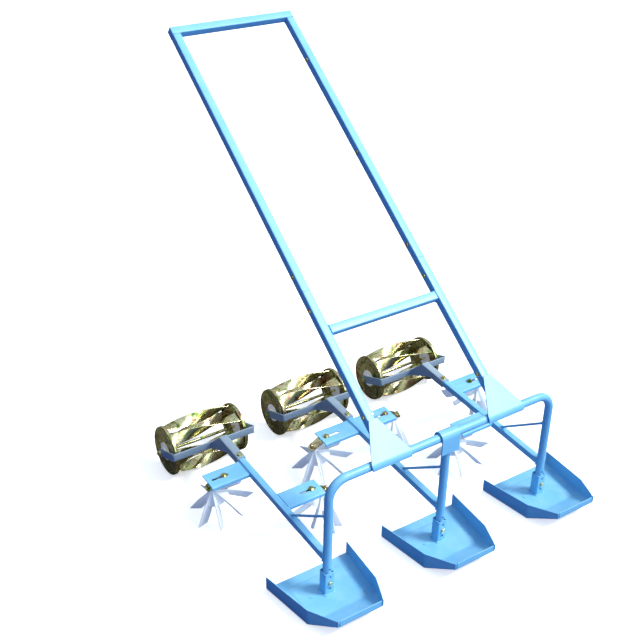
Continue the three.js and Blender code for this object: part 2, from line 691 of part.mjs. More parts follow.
// Strap under the plate with its clamping stud, turned down at the bend to carry the star pin.
function starHolder(side) {
  const half = HOLDER_SHEET / 2;
  const width = HOLDER_WIDTH / 2;
  const leg = new THREE.Shape();
  leg.moveTo(0, width);
  leg.lineTo(0, -width);
  leg.absarc(HOLDER_REACH, 0, width, -Math.PI / 2, Math.PI / 2, false);
  leg.holes.push(new THREE.Path().absarc(HOLDER_REACH, 0, starPinRadius + BOLT_CLEARANCE, 0, 2 * Math.PI));
  const down = new THREE.ExtrudeGeometry(leg, { depth: HOLDER_SHEET, bevelEnabled: false, curveSegments: 6 });
  down.translate(0, 0, -half);
  if (side < 0) {
    down.rotateZ(Math.PI);
  }
  down.rotateY(side * tilt);
  down.translate(side * HOLDER_BEND, 0, strapMiddle);
  const [x0, x1] = [-width, HOLDER_BEND].map((x) => side * x).sort((a, b) => a - b);
  const nutTop = FIT + STUD_DIAMETER * NUT_HEIGHT;
  const weldFoot = strapMiddle - half - STUD_WELD;
  return join(
    block(x0, -width, strapMiddle - half, x1, width, strapMiddle + half),
    bar([side * HOLDER_BEND, -width, strapMiddle], [side * HOLDER_BEND, width, strapMiddle], half, SMALL_ROUND),
    solid(down),
    bar([0, 0, strapMiddle], [0, 0, nutTop + THREAD_SHOWING], studRadius, SMALL_ROUND),
    bar([0, 0, FIT], [0, 0, nutTop], STUD_DIAMETER * HEX_CORNER, 6),
    bar([0, 0, weldFoot], [0, 0, strapMiddle], STUD_DIAMETER, SMALL_ROUND),
  );
}

const hubTop = -(HOLDER_SHEET / 2 + STAR_PLAY);
const hubBottom = hubTop - STAR_HUB_LENGTH;
const apex = hubTop - STAR_HUB_LENGTH / 2;

// Pin through the turned-down leg and the star's hub, with a domed nut above and a flat head below.
function starPin() {
  const nut = HOLDER_SHEET / 2 + FIT;
  const nutTop = nut + STAR_PIN_DIAMETER * NUT_HEIGHT;
  const head = hubBottom - STAR_PLAY / 2;
  const headRadius = STAR_PIN_DIAMETER * HEX_CORNER;
  const dome = new THREE.SphereGeometry(STAR_PIN_DIAMETER, SMALL_ROUND, 4);
  dome.rotateX(Math.PI / 2);
  dome.translate(0, 0, nut + DOME_SEAT);
  const reach = 2 * headRadius;
  const dropped = block(-reach, -reach, -reach, reach, reach, nut + DOME_SEAT / 2);
  return join(
    bar([0, 0, head - STAR_PIN_HEAD / 2], [0, 0, nutTop], starPinRadius, SMALL_ROUND),
    bar([0, 0, nut], [0, 0, nutTop], headRadius, 6),
    cut(solid(dome), dropped),
    bar([0, 0, head - STAR_PIN_HEAD], [0, 0, head], headRadius, SMALL_ROUND),
  );
}

// One blade, standing in a plane through the axis. It widens from the hub to the tip circle. Its tip is cut at
// a slant, so that the lowest blade ends nearly level with the ground.
function starBlade(index) {
  const run = new THREE.Vector2(STAR_RADIUS, -STAR_TIP_DEPTH - apex);
  const length = run.length();
  run.normalize();
  const across = new THREE.Vector2(-run.y, run.x);
  const section = (distance, width, slant) => [[-1, 1], [1, 1], [1, -1], [-1, -1]].map(([a, b]) => {
    const along = distance + a * slant;
    const wide = (a * width) / 2;
    return [run.x * along + across.x * wide, (b * STAR_BLADE_SHEET) / 2, apex + run.y * along + across.y * wide];
  });
  const root = section(STAR_HUB_RADIUS / 2, STAR_BLADE_ROOT, 0);
  const tip = section(length, STAR_BLADE_WIDTH, STAR_TIP_SLANT);
  return hexahedron(root, tip).rotate([0, 0, STAR_PHASE + (index / STAR_BLADES) * 360]);
}

function starWheel() {
  const blades = Array.from({ length: STAR_BLADES }, (_, i) => starBlade(i));
  const bore = starPinRadius + BOLT_CLEARANCE;
  return cut(
    join(bar([0, 0, hubBottom], [0, 0, hubTop], STAR_HUB_RADIUS), ...blades),
    bar([0, 0, hubBottom - STAR_PLAY], [0, 0, hubTop + STAR_PLAY], bore, SMALL_ROUND),
  );
}

// ---- the three rows -----------------------------------------------------------

// Stars of each arm: side of the arm, front or rear bracket, and how far out along the slot each is set.
const STARS = [
  ["left", "outer", -1, "rear", 8],
  ["left", "inner", 1, "front", 28],
  ["centre", "left", -1, "rear", 34],
  ["centre", "right", 1, "rear", 34],
  ["right", "inner", -1, "front", 30],
  ["right", "outer", 1, "rear", 3],
];
const starPlaces = {
  rear: [REAR_STAR_STATION, armHalf - REAR_PLATE_DROP],
  front: [FRONT_STAR_STATION, armHalf - FRONT_PLATE_DROP],
};

function starUnit(arm, name, side, place, setting) {
  const [station, top] = starPlaces[place];
  const mount = new THREE.Group();
  mount.position.set(0, station, top);
  arm.add(mount);
  piece(mount, `${name}_star_bracket`, starBracket(side), skyBlue);
  const slide = new THREE.Group();
  slide.position.x = side * (SLOT_INNER + setting);
  mount.add(slide);
  piece(slide, `${name}_star_holder`, starHolder(side), yellowZinc);
  const spindle = new THREE.Group();
  const reach = HOLDER_BEND + HOLDER_REACH * Math.cos(tilt);
  spindle.position.set(side * reach, 0, strapMiddle - HOLDER_REACH * Math.sin(tilt));
  spindle.rotation.y = side * tilt;
  slide.add(spindle);
  piece(spindle, `${name}_star_pin`, starPin(), yellowZinc);
  piece(spindle, `${name}_star_wheel`, starWheel(), whitePlastic);
}

for (const [row, x] of [["left", -ROW_PITCH], ["centre", 0], ["right", ROW_PITCH]]) {
  const line = new THREE.Group();
  line.position.x = x;
  machine.add(line);
  piece(line, `${row}_skid`, join(skidTray(), skidSocket()), skyBlue);
  piece(line, `${row}_skid_bolt`, skidBolt(), yellowZinc);
  piece(line, `${row}_brace_rod`, braceRod(), skyBlue);

  const arm = new THREE.Group();
  arm.position.z = ARM_FRONT_HEIGHT;
  arm.rotation.x = rise;
  line.add(arm);
  piece(arm, `${row}_arm`, armTube(), skyBlue);
  piece(arm, `${row}_rotor_yoke`, rotorYoke(), greyBlue);
  piece(arm, `${row}_yoke_bolt`, yokeBolt(), yellowZinc);
  for (const [owner, name, side, place, setting] of STARS) {
    if (owner === row) {
      starUnit(arm, `${row}_${name}`, side, place, setting);
    }
  }

  const rotor = new THREE.Group();
  rotor.position.set(0, ROTOR_AXLE_Y, ROTOR_RADIUS);
  line.add(rotor);
  piece(rotor, `${row}_rotor_drum`, rotorDrum(), yellowZinc);
  piece(rotor, `${row}_rotor_axle`, rotorAxle(), yellowZinc);
}

export default machine;
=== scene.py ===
import json
import math
import random

import bmesh
import bpy
from mathutils import Matrix, Vector, noise


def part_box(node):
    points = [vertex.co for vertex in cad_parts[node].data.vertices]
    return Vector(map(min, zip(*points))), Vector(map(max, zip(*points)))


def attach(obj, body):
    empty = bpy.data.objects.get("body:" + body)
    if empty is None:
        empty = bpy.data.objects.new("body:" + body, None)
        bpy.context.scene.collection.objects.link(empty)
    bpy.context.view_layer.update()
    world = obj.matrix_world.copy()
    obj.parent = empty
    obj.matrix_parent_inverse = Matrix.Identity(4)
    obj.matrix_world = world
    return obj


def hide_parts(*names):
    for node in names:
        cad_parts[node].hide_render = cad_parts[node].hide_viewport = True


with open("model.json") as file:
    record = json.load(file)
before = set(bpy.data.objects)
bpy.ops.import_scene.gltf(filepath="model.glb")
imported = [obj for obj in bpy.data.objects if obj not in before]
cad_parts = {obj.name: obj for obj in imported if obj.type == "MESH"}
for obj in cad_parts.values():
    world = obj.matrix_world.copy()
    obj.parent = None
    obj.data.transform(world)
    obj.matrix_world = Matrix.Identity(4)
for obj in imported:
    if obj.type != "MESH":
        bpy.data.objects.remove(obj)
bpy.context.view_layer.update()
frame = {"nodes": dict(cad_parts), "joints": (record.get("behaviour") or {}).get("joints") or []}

# Three-row hand-pushed paddy weeder. Sizes are in metres. It travels toward -Y, and its rows lie side by side
# along X, with the origin on the ground under the middle strut.

MM = 0.001


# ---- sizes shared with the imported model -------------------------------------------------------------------

def middle(node):
    low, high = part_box(node)
    return (low + high) / 2


def joint(name):
    return next(j for j in frame["joints"] if j["name"] == name)


ROWS = {row: middle(f"{row}_skid").x for row in ("left", "centre", "right")}
PIPE_RADIUS = 9.5 * MM
BEND_RADIUS = 42 * MM
CROSS_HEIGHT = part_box("front_pipe")[1].z - PIPE_RADIUS
STRUT_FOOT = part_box("front_pipe")[0].z

HANDLE_LEAN = math.radians(52.6)
HANDLE_LENGTH = 1110 * MM
UPRIGHT = 20 * MM
UPRIGHT_X = middle("left_lower_upright").x
SPLICE_STATION = 395 * MM
CROSSBAR_STATION = 298 * MM
HANDLE = Matrix.Translation((0, 0, CROSS_HEIGHT)) @ Matrix.Rotation(-HANDLE_LEAN, 4, "X")

ARM = 16 * MM
ARM_HEIGHT = 91.5 * MM
ARM_RISE = math.radians(4.3)
BRACE_RADIUS = 3 * MM
SHEET_FOLD = 3 * MM  # inside radius of folded sheet

SKID_SHEET = 2 * MM
SOCKET_HALF = 11.5 * MM
SOCKET_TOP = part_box("centre_skid")[1].z
SKID_BOLT_HEIGHT = middle("centre_skid_bolt").z

ROTOR_RADIUS = 60.5 * MM
ROTOR_LENGTH = 195 * MM
BLADE_CIRCLE = 52 * MM
BLADE_WIDTH = 28 * MM
BLADE_SHEET = 2.5 * MM
BLADE_COUNT = 6
FORK_SHEET = 3 * MM
FORK_DEPTH = 20 * MM
FORK_INNER = ROTOR_LENGTH / 2 + 9 * MM

STAR_TILT = math.radians(30)
HOLDER_BEND = 16 * MM
HOLDER_REACH = 24 * MM
HOLDER_SHEET = 3 * MM
HOLDER_WIDTH = 22 * MM
PLATE_SHEET = 3 * MM
PLATE_LENGTH = 95 * MM
PLATE_WIDTH = 50 * MM
STRAP_DROP = 4.8 * MM  # middle of the strap below the top of the bracket
SLOT_ENDS = (53 * MM, 89 * MM)
STARS = {  # arm, side of the arm, station along it, top of the bracket above the arm's axis
    "left_outer": ("left", -1, 322 * MM, 3.7 * MM),
    "left_inner": ("left", 1, 184 * MM, 7.7 * MM),
    "centre_left": ("centre", -1, 322 * MM, 3.7 * MM),
    "centre_right": ("centre", 1, 322 * MM, 3.7 * MM),
    "right_inner": ("right", -1, 184 * MM, 7.7 * MM),
    "right_outer": ("right", 1, 322 * MM, 3.7 * MM),
}


def arm_frame(row):
    return Matrix.Translation((ROWS[row], 0, ARM_HEIGHT)) @ Matrix.Rotation(ARM_RISE, 4, "X")


def along_arm(y, z):
    """A place given by its distance back and its height above the ground, in the arm's own frame."""
    up = z - ARM_HEIGHT
    run, rise = math.cos(ARM_RISE), math.sin(ARM_RISE)
    return y * run + up * rise, up * run - y * rise


# ---- shader node groups -----------------------------------------------------------------------------------

def new_group(name, inputs, outputs):
    """An empty shader group with its sockets: inputs as (name, default), outputs as (name, type)."""
    group = bpy.data.node_groups.new(name, "ShaderNodeTree")
    for socket, default in inputs:
        kind = "NodeSocketColor" if isinstance(default, tuple) else "NodeSocketFloat"
        item = group.interface.new_socket(socket, in_out="INPUT", socket_type=kind)
        item.default_value = default
    for socket, kind in outputs:
        group.interface.new_socket(socket, in_out="OUTPUT", socket_type=kind)
    return group, group.nodes.new("NodeGroupInput"), group.nodes.new("NodeGroupOutput")


def node(tree, kind, **settings):
    made = tree.nodes.new(kind)
    for key, value in settings.items():
        if key in made.inputs:
            made.inputs[key].default_value = value
        else:
            setattr(made, key, value)
    return made


def maths(tree, operation, *values, clamp=False):
    made = tree.nodes.new("ShaderNodeMath")
    made.operation = operation
    made.use_clamp = clamp
    for socket, value in zip(made.inputs, values):
        if isinstance(value, (int, float)):
            socket.default_value = value
        else:
            tree.links.new(value, socket)
    return made.outputs[0]


def ramp(tree, value, stops):
    """A colour ramp over a value, from (position, colour or grey) stops."""
    made = tree.nodes.new("ShaderNodeValToRGB")
    elements = made.color_ramp.elements
    while len(elements) < len(stops):
        elements.new(0.5)
    for element, (position, colour) in zip(elements, stops):
        element.position = position
        element.color = colour if isinstance(colour, tuple) else (colour, colour, colour, 1)
    tree.links.new(value, made.inputs[0])
    return made.outputs[0]


def mix_colour(tree, factor, first, second):
    made = tree.nodes.new("ShaderNodeMix")
    made.data_type = "RGBA"
    for place, value in ((0, factor), (6, first), (7, second)):
        socket = made.inputs[place]
        if isinstance(value, (int, float, tuple)):
            socket.default_value = value
        else:
            tree.links.new(value, socket)
    return made.outputs[2]


def noise_of(tree, coordinate, scale, detail=3.0, roughness=0.55, distortion=0.0):
    made = node(tree, "ShaderNodeTexNoise", Detail=detail, Roughness=roughness, Distortion=distortion)
    if isinstance(scale, (int, float)):
        made.inputs["Scale"].default_value = scale
    else:
        tree.links.new(scale, made.inputs["Scale"])
    tree.links.new(coordinate, made.inputs["Vector"])
    return made.outputs["Fac"]


def edge_wear_group():
    """Mask of rubbed outer edges: where a rounded normal leaves the true one, broken up by noise."""
    group, given, out = new_group(
        "edge_wear", [("Radius", 0.0012), ("Amount", 1.0), ("Breakup", 220.0)], [("Mask", "NodeSocketFloat")]
    )
    rounded = node(group, "ShaderNodeBevel", samples=4)
    group.links.new(given.outputs["Radius"], rounded.inputs["Radius"])
    true = node(group, "ShaderNodeNewGeometry")
    agree = node(group, "ShaderNodeVectorMath", operation="DOT_PRODUCT")
    group.links.new(rounded.outputs[0], agree.inputs[0])
    group.links.new(true.outputs["Normal"], agree.inputs[1])
    edge = ramp(group, agree.outputs["Value"], [(0.78, 1.0), (0.97, 0.0)])
    place = node(group, "ShaderNodeTexCoord")
    patches = noise_of(group, place.outputs["Object"], given.outputs["Breakup"], 4.0, 0.7)
    broken = ramp(group, patches, [(0.48, 0.0), (0.62, 1.0)])
    mask = maths(group, "MULTIPLY", edge, broken)
    group.links.new(maths(group, "MULTIPLY", mask, given.outputs["Amount"], clamp=True), out.inputs["Mask"])
    return group


def top_light_and_dust_group():
    """Mask of upward faces in patches: dry silt, and on the enamels also painted top light."""
    group, given, out = new_group(
        "dust_and_top_light", [("Amount", 0.4), ("Patch Size", 26.0)], [("Mask", "NodeSocketFloat")]
    )
    true = node(group, "ShaderNodeNewGeometry")
    parts = node(group, "ShaderNodeSeparateXYZ")
    group.links.new(true.outputs["Normal"], parts.inputs[0])
    upward = ramp(group, parts.outputs["Z"], [(0.35, 0.0), (0.95, 1.0)])
    place = node(group, "ShaderNodeTexCoord")
    patches = noise_of(group, place.outputs["Object"], given.outputs["Patch Size"], 6.0, 0.65)
    cloud = ramp(group, patches, [(0.42, 0.0), (0.72, 1.0)])
    mask = maths(group, "MULTIPLY", upward, cloud)
    group.links.new(maths(group, "MULTIPLY", mask, given.outputs["Amount"], clamp=True), out.inputs["Mask"])
    return group


def flow_group():
    """Uneven film: a slow tone that drifts over the piece, and a fine one for orange peel or grain."""
    group, given, out = new_group(
        "film", [("Slow Scale", 9.0), ("Fine Scale", 420.0)],
        [("Slow", "NodeSocketFloat"), ("Fine", "NodeSocketFloat")],
    )
    place = node(group, "ShaderNodeTexCoord")
    slow = noise_of(group, place.outputs["Object"], given.outputs["Slow Scale"], 4.0, 0.6, 0.3)
    fine = noise_of(group, place.outputs["Object"], given.outputs["Fine Scale"], 2.0, 0.5)
    group.links.new(ramp(group, slow, [(0.3, 0.0), (0.7, 1.0)]), out.inputs["Slow"])
    group.links.new(fine, out.inputs["Fine"])
    return group


GROUPS = {"edge_wear": edge_wear_group(), "dust_and_top_light": top_light_and_dust_group(), "film": flow_group()}


# ---- materials --------------------------------------------------------------------------------------------

def new_material(name, **sockets):
    material = bpy.data.materials.new(name)
    material.use_nodes = True
    shader = material.node_tree.nodes["Principled BSDF"]
    for key, value in sockets.items():
        shader.inputs[key.replace("_", " ")].default_value = value
    return material, material.node_tree, shader


def placed(tree, name, **values):
    made = tree.nodes.new("ShaderNodeGroup")
    made.node_tree = GROUPS[name]
    for key, value in values.items():
        made.inputs[key.replace("_", " ")].default_value = value
    return made


def bump_from(tree, shader, height, distance, strength=1.0):
    bump = node(tree, "ShaderNodeBump", Distance=distance, Strength=strength)
    tree.links.new(height, bump.inputs["Height"])
    tree.links.new(bump.outputs[0], shader.inputs["Normal"])


def enamel(name, deep, pale, bare, silt_and_top_light, wear):
    """Stoved enamel: two tones of paint, orange peel, rubbed edges, and silt and painted top light on upward
    faces.
    """
    material, tree, shader = new_material(name, Metallic=0.0, Coat_Weight=0.15, Coat_Roughness=0.2, IOR=1.45)
    film = placed(tree, "film", Slow_Scale=7.0, Fine_Scale=260.0)
    edges = placed(tree, "edge_wear", Radius=0.0011, Amount=wear, Breakup=260.0)
    dust_and_light_mask = placed(tree, "dust_and_top_light", Amount=0.35, Patch_Size=24.0)
    paint = mix_colour(tree, film.outputs["Slow"], deep, pale)
    worn = mix_colour(tree, edges.outputs["Mask"], paint, bare)
    # Upward faces take the silt colour: partly silt, partly painted light where the key lamp falls on the
    # tops.
    dusty_and_lit = mix_colour(tree, dust_and_light_mask.outputs["Mask"], worn, silt_and_top_light)
    tree.links.new(dusty_and_lit, shader.inputs["Base Color"])
    rough = maths(tree, "MULTIPLY_ADD", film.outputs["Slow"], 0.10, 0.38)
    rougher = maths(tree, "MULTIPLY_ADD", dust_and_light_mask.outputs["Mask"], 0.35, rough)
    tree.links.new(rougher, shader.inputs["Roughness"])
    bump_from(tree, shader, film.outputs["Fine"], 0.00006, 0.30)
    return material


def yellow_zinc():
    """Zinc plate with a yellow passivate: straw, green and rose films that drift over bright steel."""
    material, tree, shader = new_material("passivated_zinc", Metallic=1.0)
    place = node(tree, "ShaderNodeTexCoord")
    drift = noise_of(tree, place.outputs["Object"], 34.0, 3.0, 0.55, 1.4)
    tint = ramp(tree, drift, [
        (0.30, (0.12, 0.26, 0.06, 1)), (0.40, (0.48, 0.50, 0.18, 1)), (0.49, (0.86, 0.83, 0.52, 1)),
        (0.56, (0.74, 0.68, 0.34, 1)), (0.63, (0.62, 0.36, 0.26, 1)), (0.72, (0.24, 0.15, 0.06, 1)),
    ])
    stain = noise_of(tree, place.outputs["Object"], 12.0, 5.0, 0.7)
    stained = ramp(tree, stain, [(0.45, 0.0), (0.70, 0.7)])
    toned = mix_colour(tree, stained, tint, (0.14, 0.11, 0.04, 1))
    edges = placed(tree, "edge_wear", Radius=0.0010, Amount=0.6, Breakup=300.0)
    rubbed = mix_colour(tree, edges.outputs["Mask"], toned, (0.88, 0.87, 0.80, 1))
    tree.links.new(rubbed, shader.inputs["Base Color"])
    film = placed(tree, "film", Slow_Scale=22.0, Fine_Scale=700.0)
    rough = maths(tree, "MULTIPLY_ADD", film.outputs["Slow"], 0.14, 0.16)
    tree.links.new(rough, shader.inputs["Roughness"])
    bump_from(tree, shader, film.outputs["Fine"], 0.00008, 0.30)
    return material


def milky_nylon():
    """Moulded nylon of the star wheels: light goes through it, with flow marks, a satin skin and a faint
    painted glow.
    """
    material, tree, shader = new_material(
        "milky_nylon", Metallic=0.0, IOR=1.5, Subsurface_Weight=0.35, Subsurface_Scale=0.004,
        Subsurface_Radius=(1.0, 1.0, 1.2), Transmission_Weight=0.12,
        # The emission is a painted glow that lightens the nylon where it lies in shade.
        Emission_Color=(0.82, 0.90, 1.0, 1), Emission_Strength=0.13,
    )
    film = placed(tree, "film", Slow_Scale=18.0, Fine_Scale=600.0)
    dust_and_light_mask = placed(tree, "dust_and_top_light", Amount=0.25, Patch_Size=40.0)
    body = mix_colour(tree, film.outputs["Slow"], (0.70, 0.77, 0.83, 1), (0.80, 0.86, 0.90, 1))
    dusty_and_lit = mix_colour(tree, dust_and_light_mask.outputs["Mask"], body, (0.60, 0.56, 0.50, 1))
    tree.links.new(dusty_and_lit, shader.inputs["Base Color"])
    rough = maths(tree, "MULTIPLY_ADD", film.outputs["Slow"], 0.12, 0.36)
    tree.links.new(rough, shader.inputs["Roughness"])
    bump_from(tree, shader, film.outputs["Fine"], 0.00010, 0.25)
    return material


def bush_nylon():
    """Grey-white bearing nylon with a fine grain, and a painted glow that lightens it in the fork's shadow."""
    material, tree, shader = new_material(
        "bush_nylon", Metallic=0.0, Roughness=0.45, Subsurface_Weight=0.15, Subsurface_Scale=0.003,
        # Emission: a painted glow that lightens the bush where the fork shades it.
        Emission_Color=(0.90, 0.92, 0.84, 1), Emission_Strength=0.16,
    )
    film = placed(tree, "film", Slow_Scale=40.0, Fine_Scale=900.0)
    body = mix_colour(tree, film.outputs["Slow"], (0.78, 0.76, 0.68, 1), (0.88, 0.86, 0.80, 1))
    tree.links.new(body, shader.inputs["Base Color"])
    bump_from(tree, shader, film.outputs["Fine"], 0.00010, 0.4)
    return material


# The blue enamel's silt colour is a pale lit blue: on upward faces it paints the light on the tops.
BLUE = enamel(
    "sky_blue_enamel", deep=(0.165, 0.490, 0.800, 1), pale=(0.205, 0.545, 0.830, 1),
    bare=(0.42, 0.72, 0.88, 1), silt_and_top_light=(0.40, 0.68, 0.78, 1), wear=0.55,
)
GREY = enamel(
    "grey_blue_enamel", deep=(0.250, 0.345, 0.430, 1), pale=(0.300, 0.400, 0.485, 1),
    bare=(0.46, 0.50, 0.52, 1), silt_and_top_light=(0.40, 0.47, 0.50, 1), wear=0.7,
)
ZINC = yellow_zinc()
STAR_NYLON = milky_nylon()
BUSH_NYLON = bush_nylon()


# ---- mesh building ----------------------------------------------------------------------------------------

def finished(name, bm, material, body, replaces=(), place=None, edge=0.0, thickness=0.0, angle=32):
    """Turns a bmesh into a piece of the machine: in place, smooth, with rounded edges, riding on its body."""
    bmesh.ops.remove_doubles(bm, verts=bm.verts, dist=1e-7)
    if not thickness:
        bmesh.ops.recalc_face_normals(bm, faces=bm.faces)
    if place is not None:
        bm.transform(place)
    mesh = bpy.data.meshes.new(name)
    bm.to_mesh(mesh)
    bm.free()
    mesh.polygons.foreach_set("use_smooth", [True] * len(mesh.polygons))
    piece = bpy.data.objects.new(name, mesh)
    bpy.context.scene.collection.objects.link(piece)
    if thickness:
        sheet = piece.modifiers.new("sheet", "SOLIDIFY")
        sheet.thickness = thickness
        sheet.offset = -1
        sheet.use_even_offset = True
    if edge:
        bevel = piece.modifiers.new("rounded_edges", "BEVEL")
        bevel.width = edge
        bevel.segments = 2
        bevel.limit_method = "ANGLE"
        bevel.angle_limit = math.radians(angle)
        bevel.harden_normals = True
    else:
        mesh.set_sharp_from_angle(angle=math.radians(angle))
    mesh.materials.append(material)
    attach(piece, body)
    if replaces:
        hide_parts(*replaces)
    return piece


def carve(piece, *cutters):
    """Cuts the cutters' shapes out of a piece, before its other modifiers."""
    for bm in cutters:
        bmesh.ops.remove_doubles(bm, verts=bm.verts, dist=1e-7)
        bmesh.ops.recalc_face_normals(bm, faces=bm.faces)
        mesh = bpy.data.meshes.new("cutter")
        bm.to_mesh(mesh)
        bm.free()
        tool = bpy.data.objects.new("cutter", mesh)
        bpy.context.scene.collection.objects.link(tool)
        shown = [(m, m.show_viewport) for m in piece.modifiers]
        for modifier, _ in shown:
            modifier.show_viewport = False
        cut = piece.modifiers.new("cut", "BOOLEAN")
        cut.object = tool
        cut.solver = "EXACT"
        bpy.context.view_layer.update()
        graph = bpy.context.evaluated_depsgraph_get()
        result = bpy.data.meshes.new_from_object(piece.evaluated_get(graph))
        piece.modifiers.remove(cut)
        for modifier, state in shown:
            modifier.show_viewport = state
        result.polygons.foreach_set("use_smooth", [True] * len(result.polygons))
        piece.data = result
        bpy.data.objects.remove(tool)
    return piece


def quarter_turn(steps, first=0):
    """Angles from 0 to a right angle, or from a later step."""
    return [math.pi / 2 * i / steps for i in range(first, steps + 1)]


def circle_ring(radius, sides):
    turns = [2 * math.pi * i / sides for i in range(sides)]
    return [(radius * math.cos(a), radius * math.sin(a)) for a in turns]


def box_ring(width, height, corner, steps=4):
    """A rectangle with rounded corners, centred, as points around it."""
    points = []
    for quarter, (sx, sy) in enumerate(((1, 1), (-1, 1), (-1, -1), (1, -1))):
        cx, cy = sx * (width / 2 - corner), sy * (height / 2 - corner)
        for turn in quarter_turn(steps):
            a = math.pi / 2 * quarter + turn
            points.append((cx + corner * math.cos(a), cy + corner * math.sin(a)))
    return points


def loft(bm, rings, closed_ring=True, caps=True, keep=None):
    """Joins rings of points, one after another, into a skin."""
    rows = [[bm.verts.new(p) for p in ring] for ring in rings]
    count = len(rows[0])
    for r, (one, two) in enumerate(zip(rows, rows[1:])):
        for i in range(count if closed_ring else count - 1):
            if keep is None or keep(r, i):
                j = (i + 1) % count
                bm.faces.new((one[i], one[j], two[j], two[i]))
    if caps and closed_ring:
        bm.faces.new(rows[0])
        bm.faces.new(list(reversed(rows[-1])))
    return rows


def rounded_path(corners, radius, steps=8):
    """A path through corner points with each inner corner turned into an arc."""
    corners = [Vector(c) for c in corners]
    points = [corners[0]]
    for before, corner, after in zip(corners, corners[1:], corners[2:]):
        back, on = (before - corner).normalized(), (after - corner).normalized()
        half = back.angle(on) / 2
        centre = corner + (back + on).normalized() * (radius / math.sin(half))
        start = corner + back * (radius / math.tan(half)) - centre
        end = corner + on * (radius / math.tan(half)) - centre
        turn = start.angle(end)
        for i in range(steps + 1):
            share = i / steps
            arm = start * math.sin((1 - share) * turn) + end * math.sin(share * turn)
            points.append(centre + arm / math.sin(turn))
    return points + [corners[-1]]


def sweep(bm, path, ring, up, closed=False, scale=None):
    """Carries a ring of (side, up) points along a path. up is a direction, or one for each point."""
    path = [Vector(p) for p in path]
    count = len(path)
    ups = up if isinstance(up, list) else [Vector(up)] * count
    rings = []
    for i, point in enumerate(path):
        before = path[i - 1] if i or closed else None
        after = path[(i + 1) % count] if i < count - 1 or closed else None
        arriving = (point - before).normalized() if before is not None else (after - point).normalized()
        leaving = (after - point).normalized() if after is not None else arriving
        tangent = (arriving + leaving).normalized()
        side = tangent.cross(ups[i]).normalized()
        lift = side.cross(tangent)
        mitre = 1 / max(0.35, tangent.dot(arriving))
        grow = scale(i) if scale else 1.0
        rings.append([point + side * (a * mitre * grow) + lift * (b * grow) for a, b in ring])
    if closed:
        rings.append(rings[0])
    loft(bm, rings, caps=not closed)


def lathe(bm, profile, segments=48, place=None):
    """Turns (radius, height) points about Z. A profile that doesn't start on the axis is closed on itself."""
    rows = []
    for i in range(segments):
        a = 2 * math.pi * i / segments
        rows.append([(r * math.cos(a), r * math.sin(a), z) for r, z in profile])
    rows.append(rows[0])
    if place is not None:
        rows = [[place @ Vector(p) for p in row] for row in rows]
    on_axis = profile[0][0] < 1e-9
    loft(bm, rows, closed_ring=not on_axis, caps=False)


def plate(bm, outline, thickness, holes=(), place=None):
    """A flat plate in XY from z 0 up, from an outline and holes given as 2-D points."""
    edges = []
    for loop in (outline, *holes):
        verts = [bm.verts.new((x, y, 0)) for x, y in loop]
        edges += [bm.edges.new((a, b)) for a, b in zip(verts, verts[1:] + verts[:1])]
    filled = bmesh.ops.triangle_fill(bm, use_beauty=True, use_dissolve=False, edges=edges)["geom"]
    faces = [g for g in filled if isinstance(g, bmesh.types.BMFace)]
    base = {v for f in faces for v in f.verts}
    raised = bmesh.ops.extrude_face_region(bm, geom=faces)["geom"]
    top = [g for g in raised if isinstance(g, bmesh.types.BMVert)]
    bmesh.ops.translate(bm, verts=top, vec=(0, 0, thickness))
    if place is not None:
        bmesh.ops.transform(bm, matrix=place, verts=[*base, *top])


ALONG_X = Matrix.Rotation(math.pi / 2, 4, "Y")
AGAINST_X = Matrix.Rotation(-math.pi / 2, 4, "Y")
ALONG_Y = Matrix.Rotation(-math.pi / 2, 4, "X")
UPSIDE_DOWN = Matrix.Rotation(math.pi, 4, "X")


def weld(bm, path, radius, seed, closed=True, up=None):
    """A weld bead: a small round section whose size ripples along the path."""
    path = [Vector(p) for p in path]
    dense = []
    for a, b in zip(path, path[1:] + path[:1] if closed else path[1:]):
        steps = max(1, round((b - a).length / (0.9 * MM)))
        dense += [a.lerp(b, i / steps) for i in range(steps)]
    if not closed:
        dense.append(path[-1])
    centre = sum(dense, Vector()) / len(dense)
    ups = [(p - centre).normalized() if up is None else Vector(up) for p in dense]
    wobble = random.Random(seed)
    phase = wobble.uniform(0, 6)

    def size(i):
        ripple = 0.14 * math.sin(i * 1.55 + phase)
        return 1 + ripple + 0.30 * noise.noise(Vector((i * 0.13, seed * 3.7, 0)))

    sweep(bm, dense, circle_ring(radius, 8), ups, closed, size)


# ---- fasteners, which stand up from z 0 in their own frame ------------------------------------------------

def rod(bm, place, radius, low, high, segments=20):
    lathe(bm, [(0, low), (radius, low), (radius, high), (0, high)], segments, place)


def hex_block(bm, place, across, height):
    """A hexagon bolt head or nut, chamfered at its outer end."""
    corner = across / 2 / math.cos(math.pi / 6)
    rings = []
    for z, share in ((0, 0.96), (0.06, 1.0), (0.84, 1.0), (1.0, 0.88)):
        rings.append([place @ Vector((x * share, y * share, z * height)) for x, y in circle_ring(corner, 6)])
    loft(bm, rings)


def washer(bm, place, outer, inner, height):
    section = [(inner, 0), (outer, 0), (outer, height * 0.8), (outer * 0.97, height), (inner, height)]
    lathe(bm, section, 32, place)


def threaded_end(bm, place, radius, length, pitch=1.0 * MM):
    """The end of a bolt past its nut, with its thread as ridges and a chamfer."""
    profile = [(0, 0)]
    z = 0.0
    while z < length - pitch:
        profile += [(radius, z + pitch * 0.2), (radius, z + pitch * 0.35), (radius * 0.86, z + pitch * 0.85)]
        z += pitch
    profile += [(radius * 0.8, length), (0, length)]
    lathe(bm, profile, 20, place)


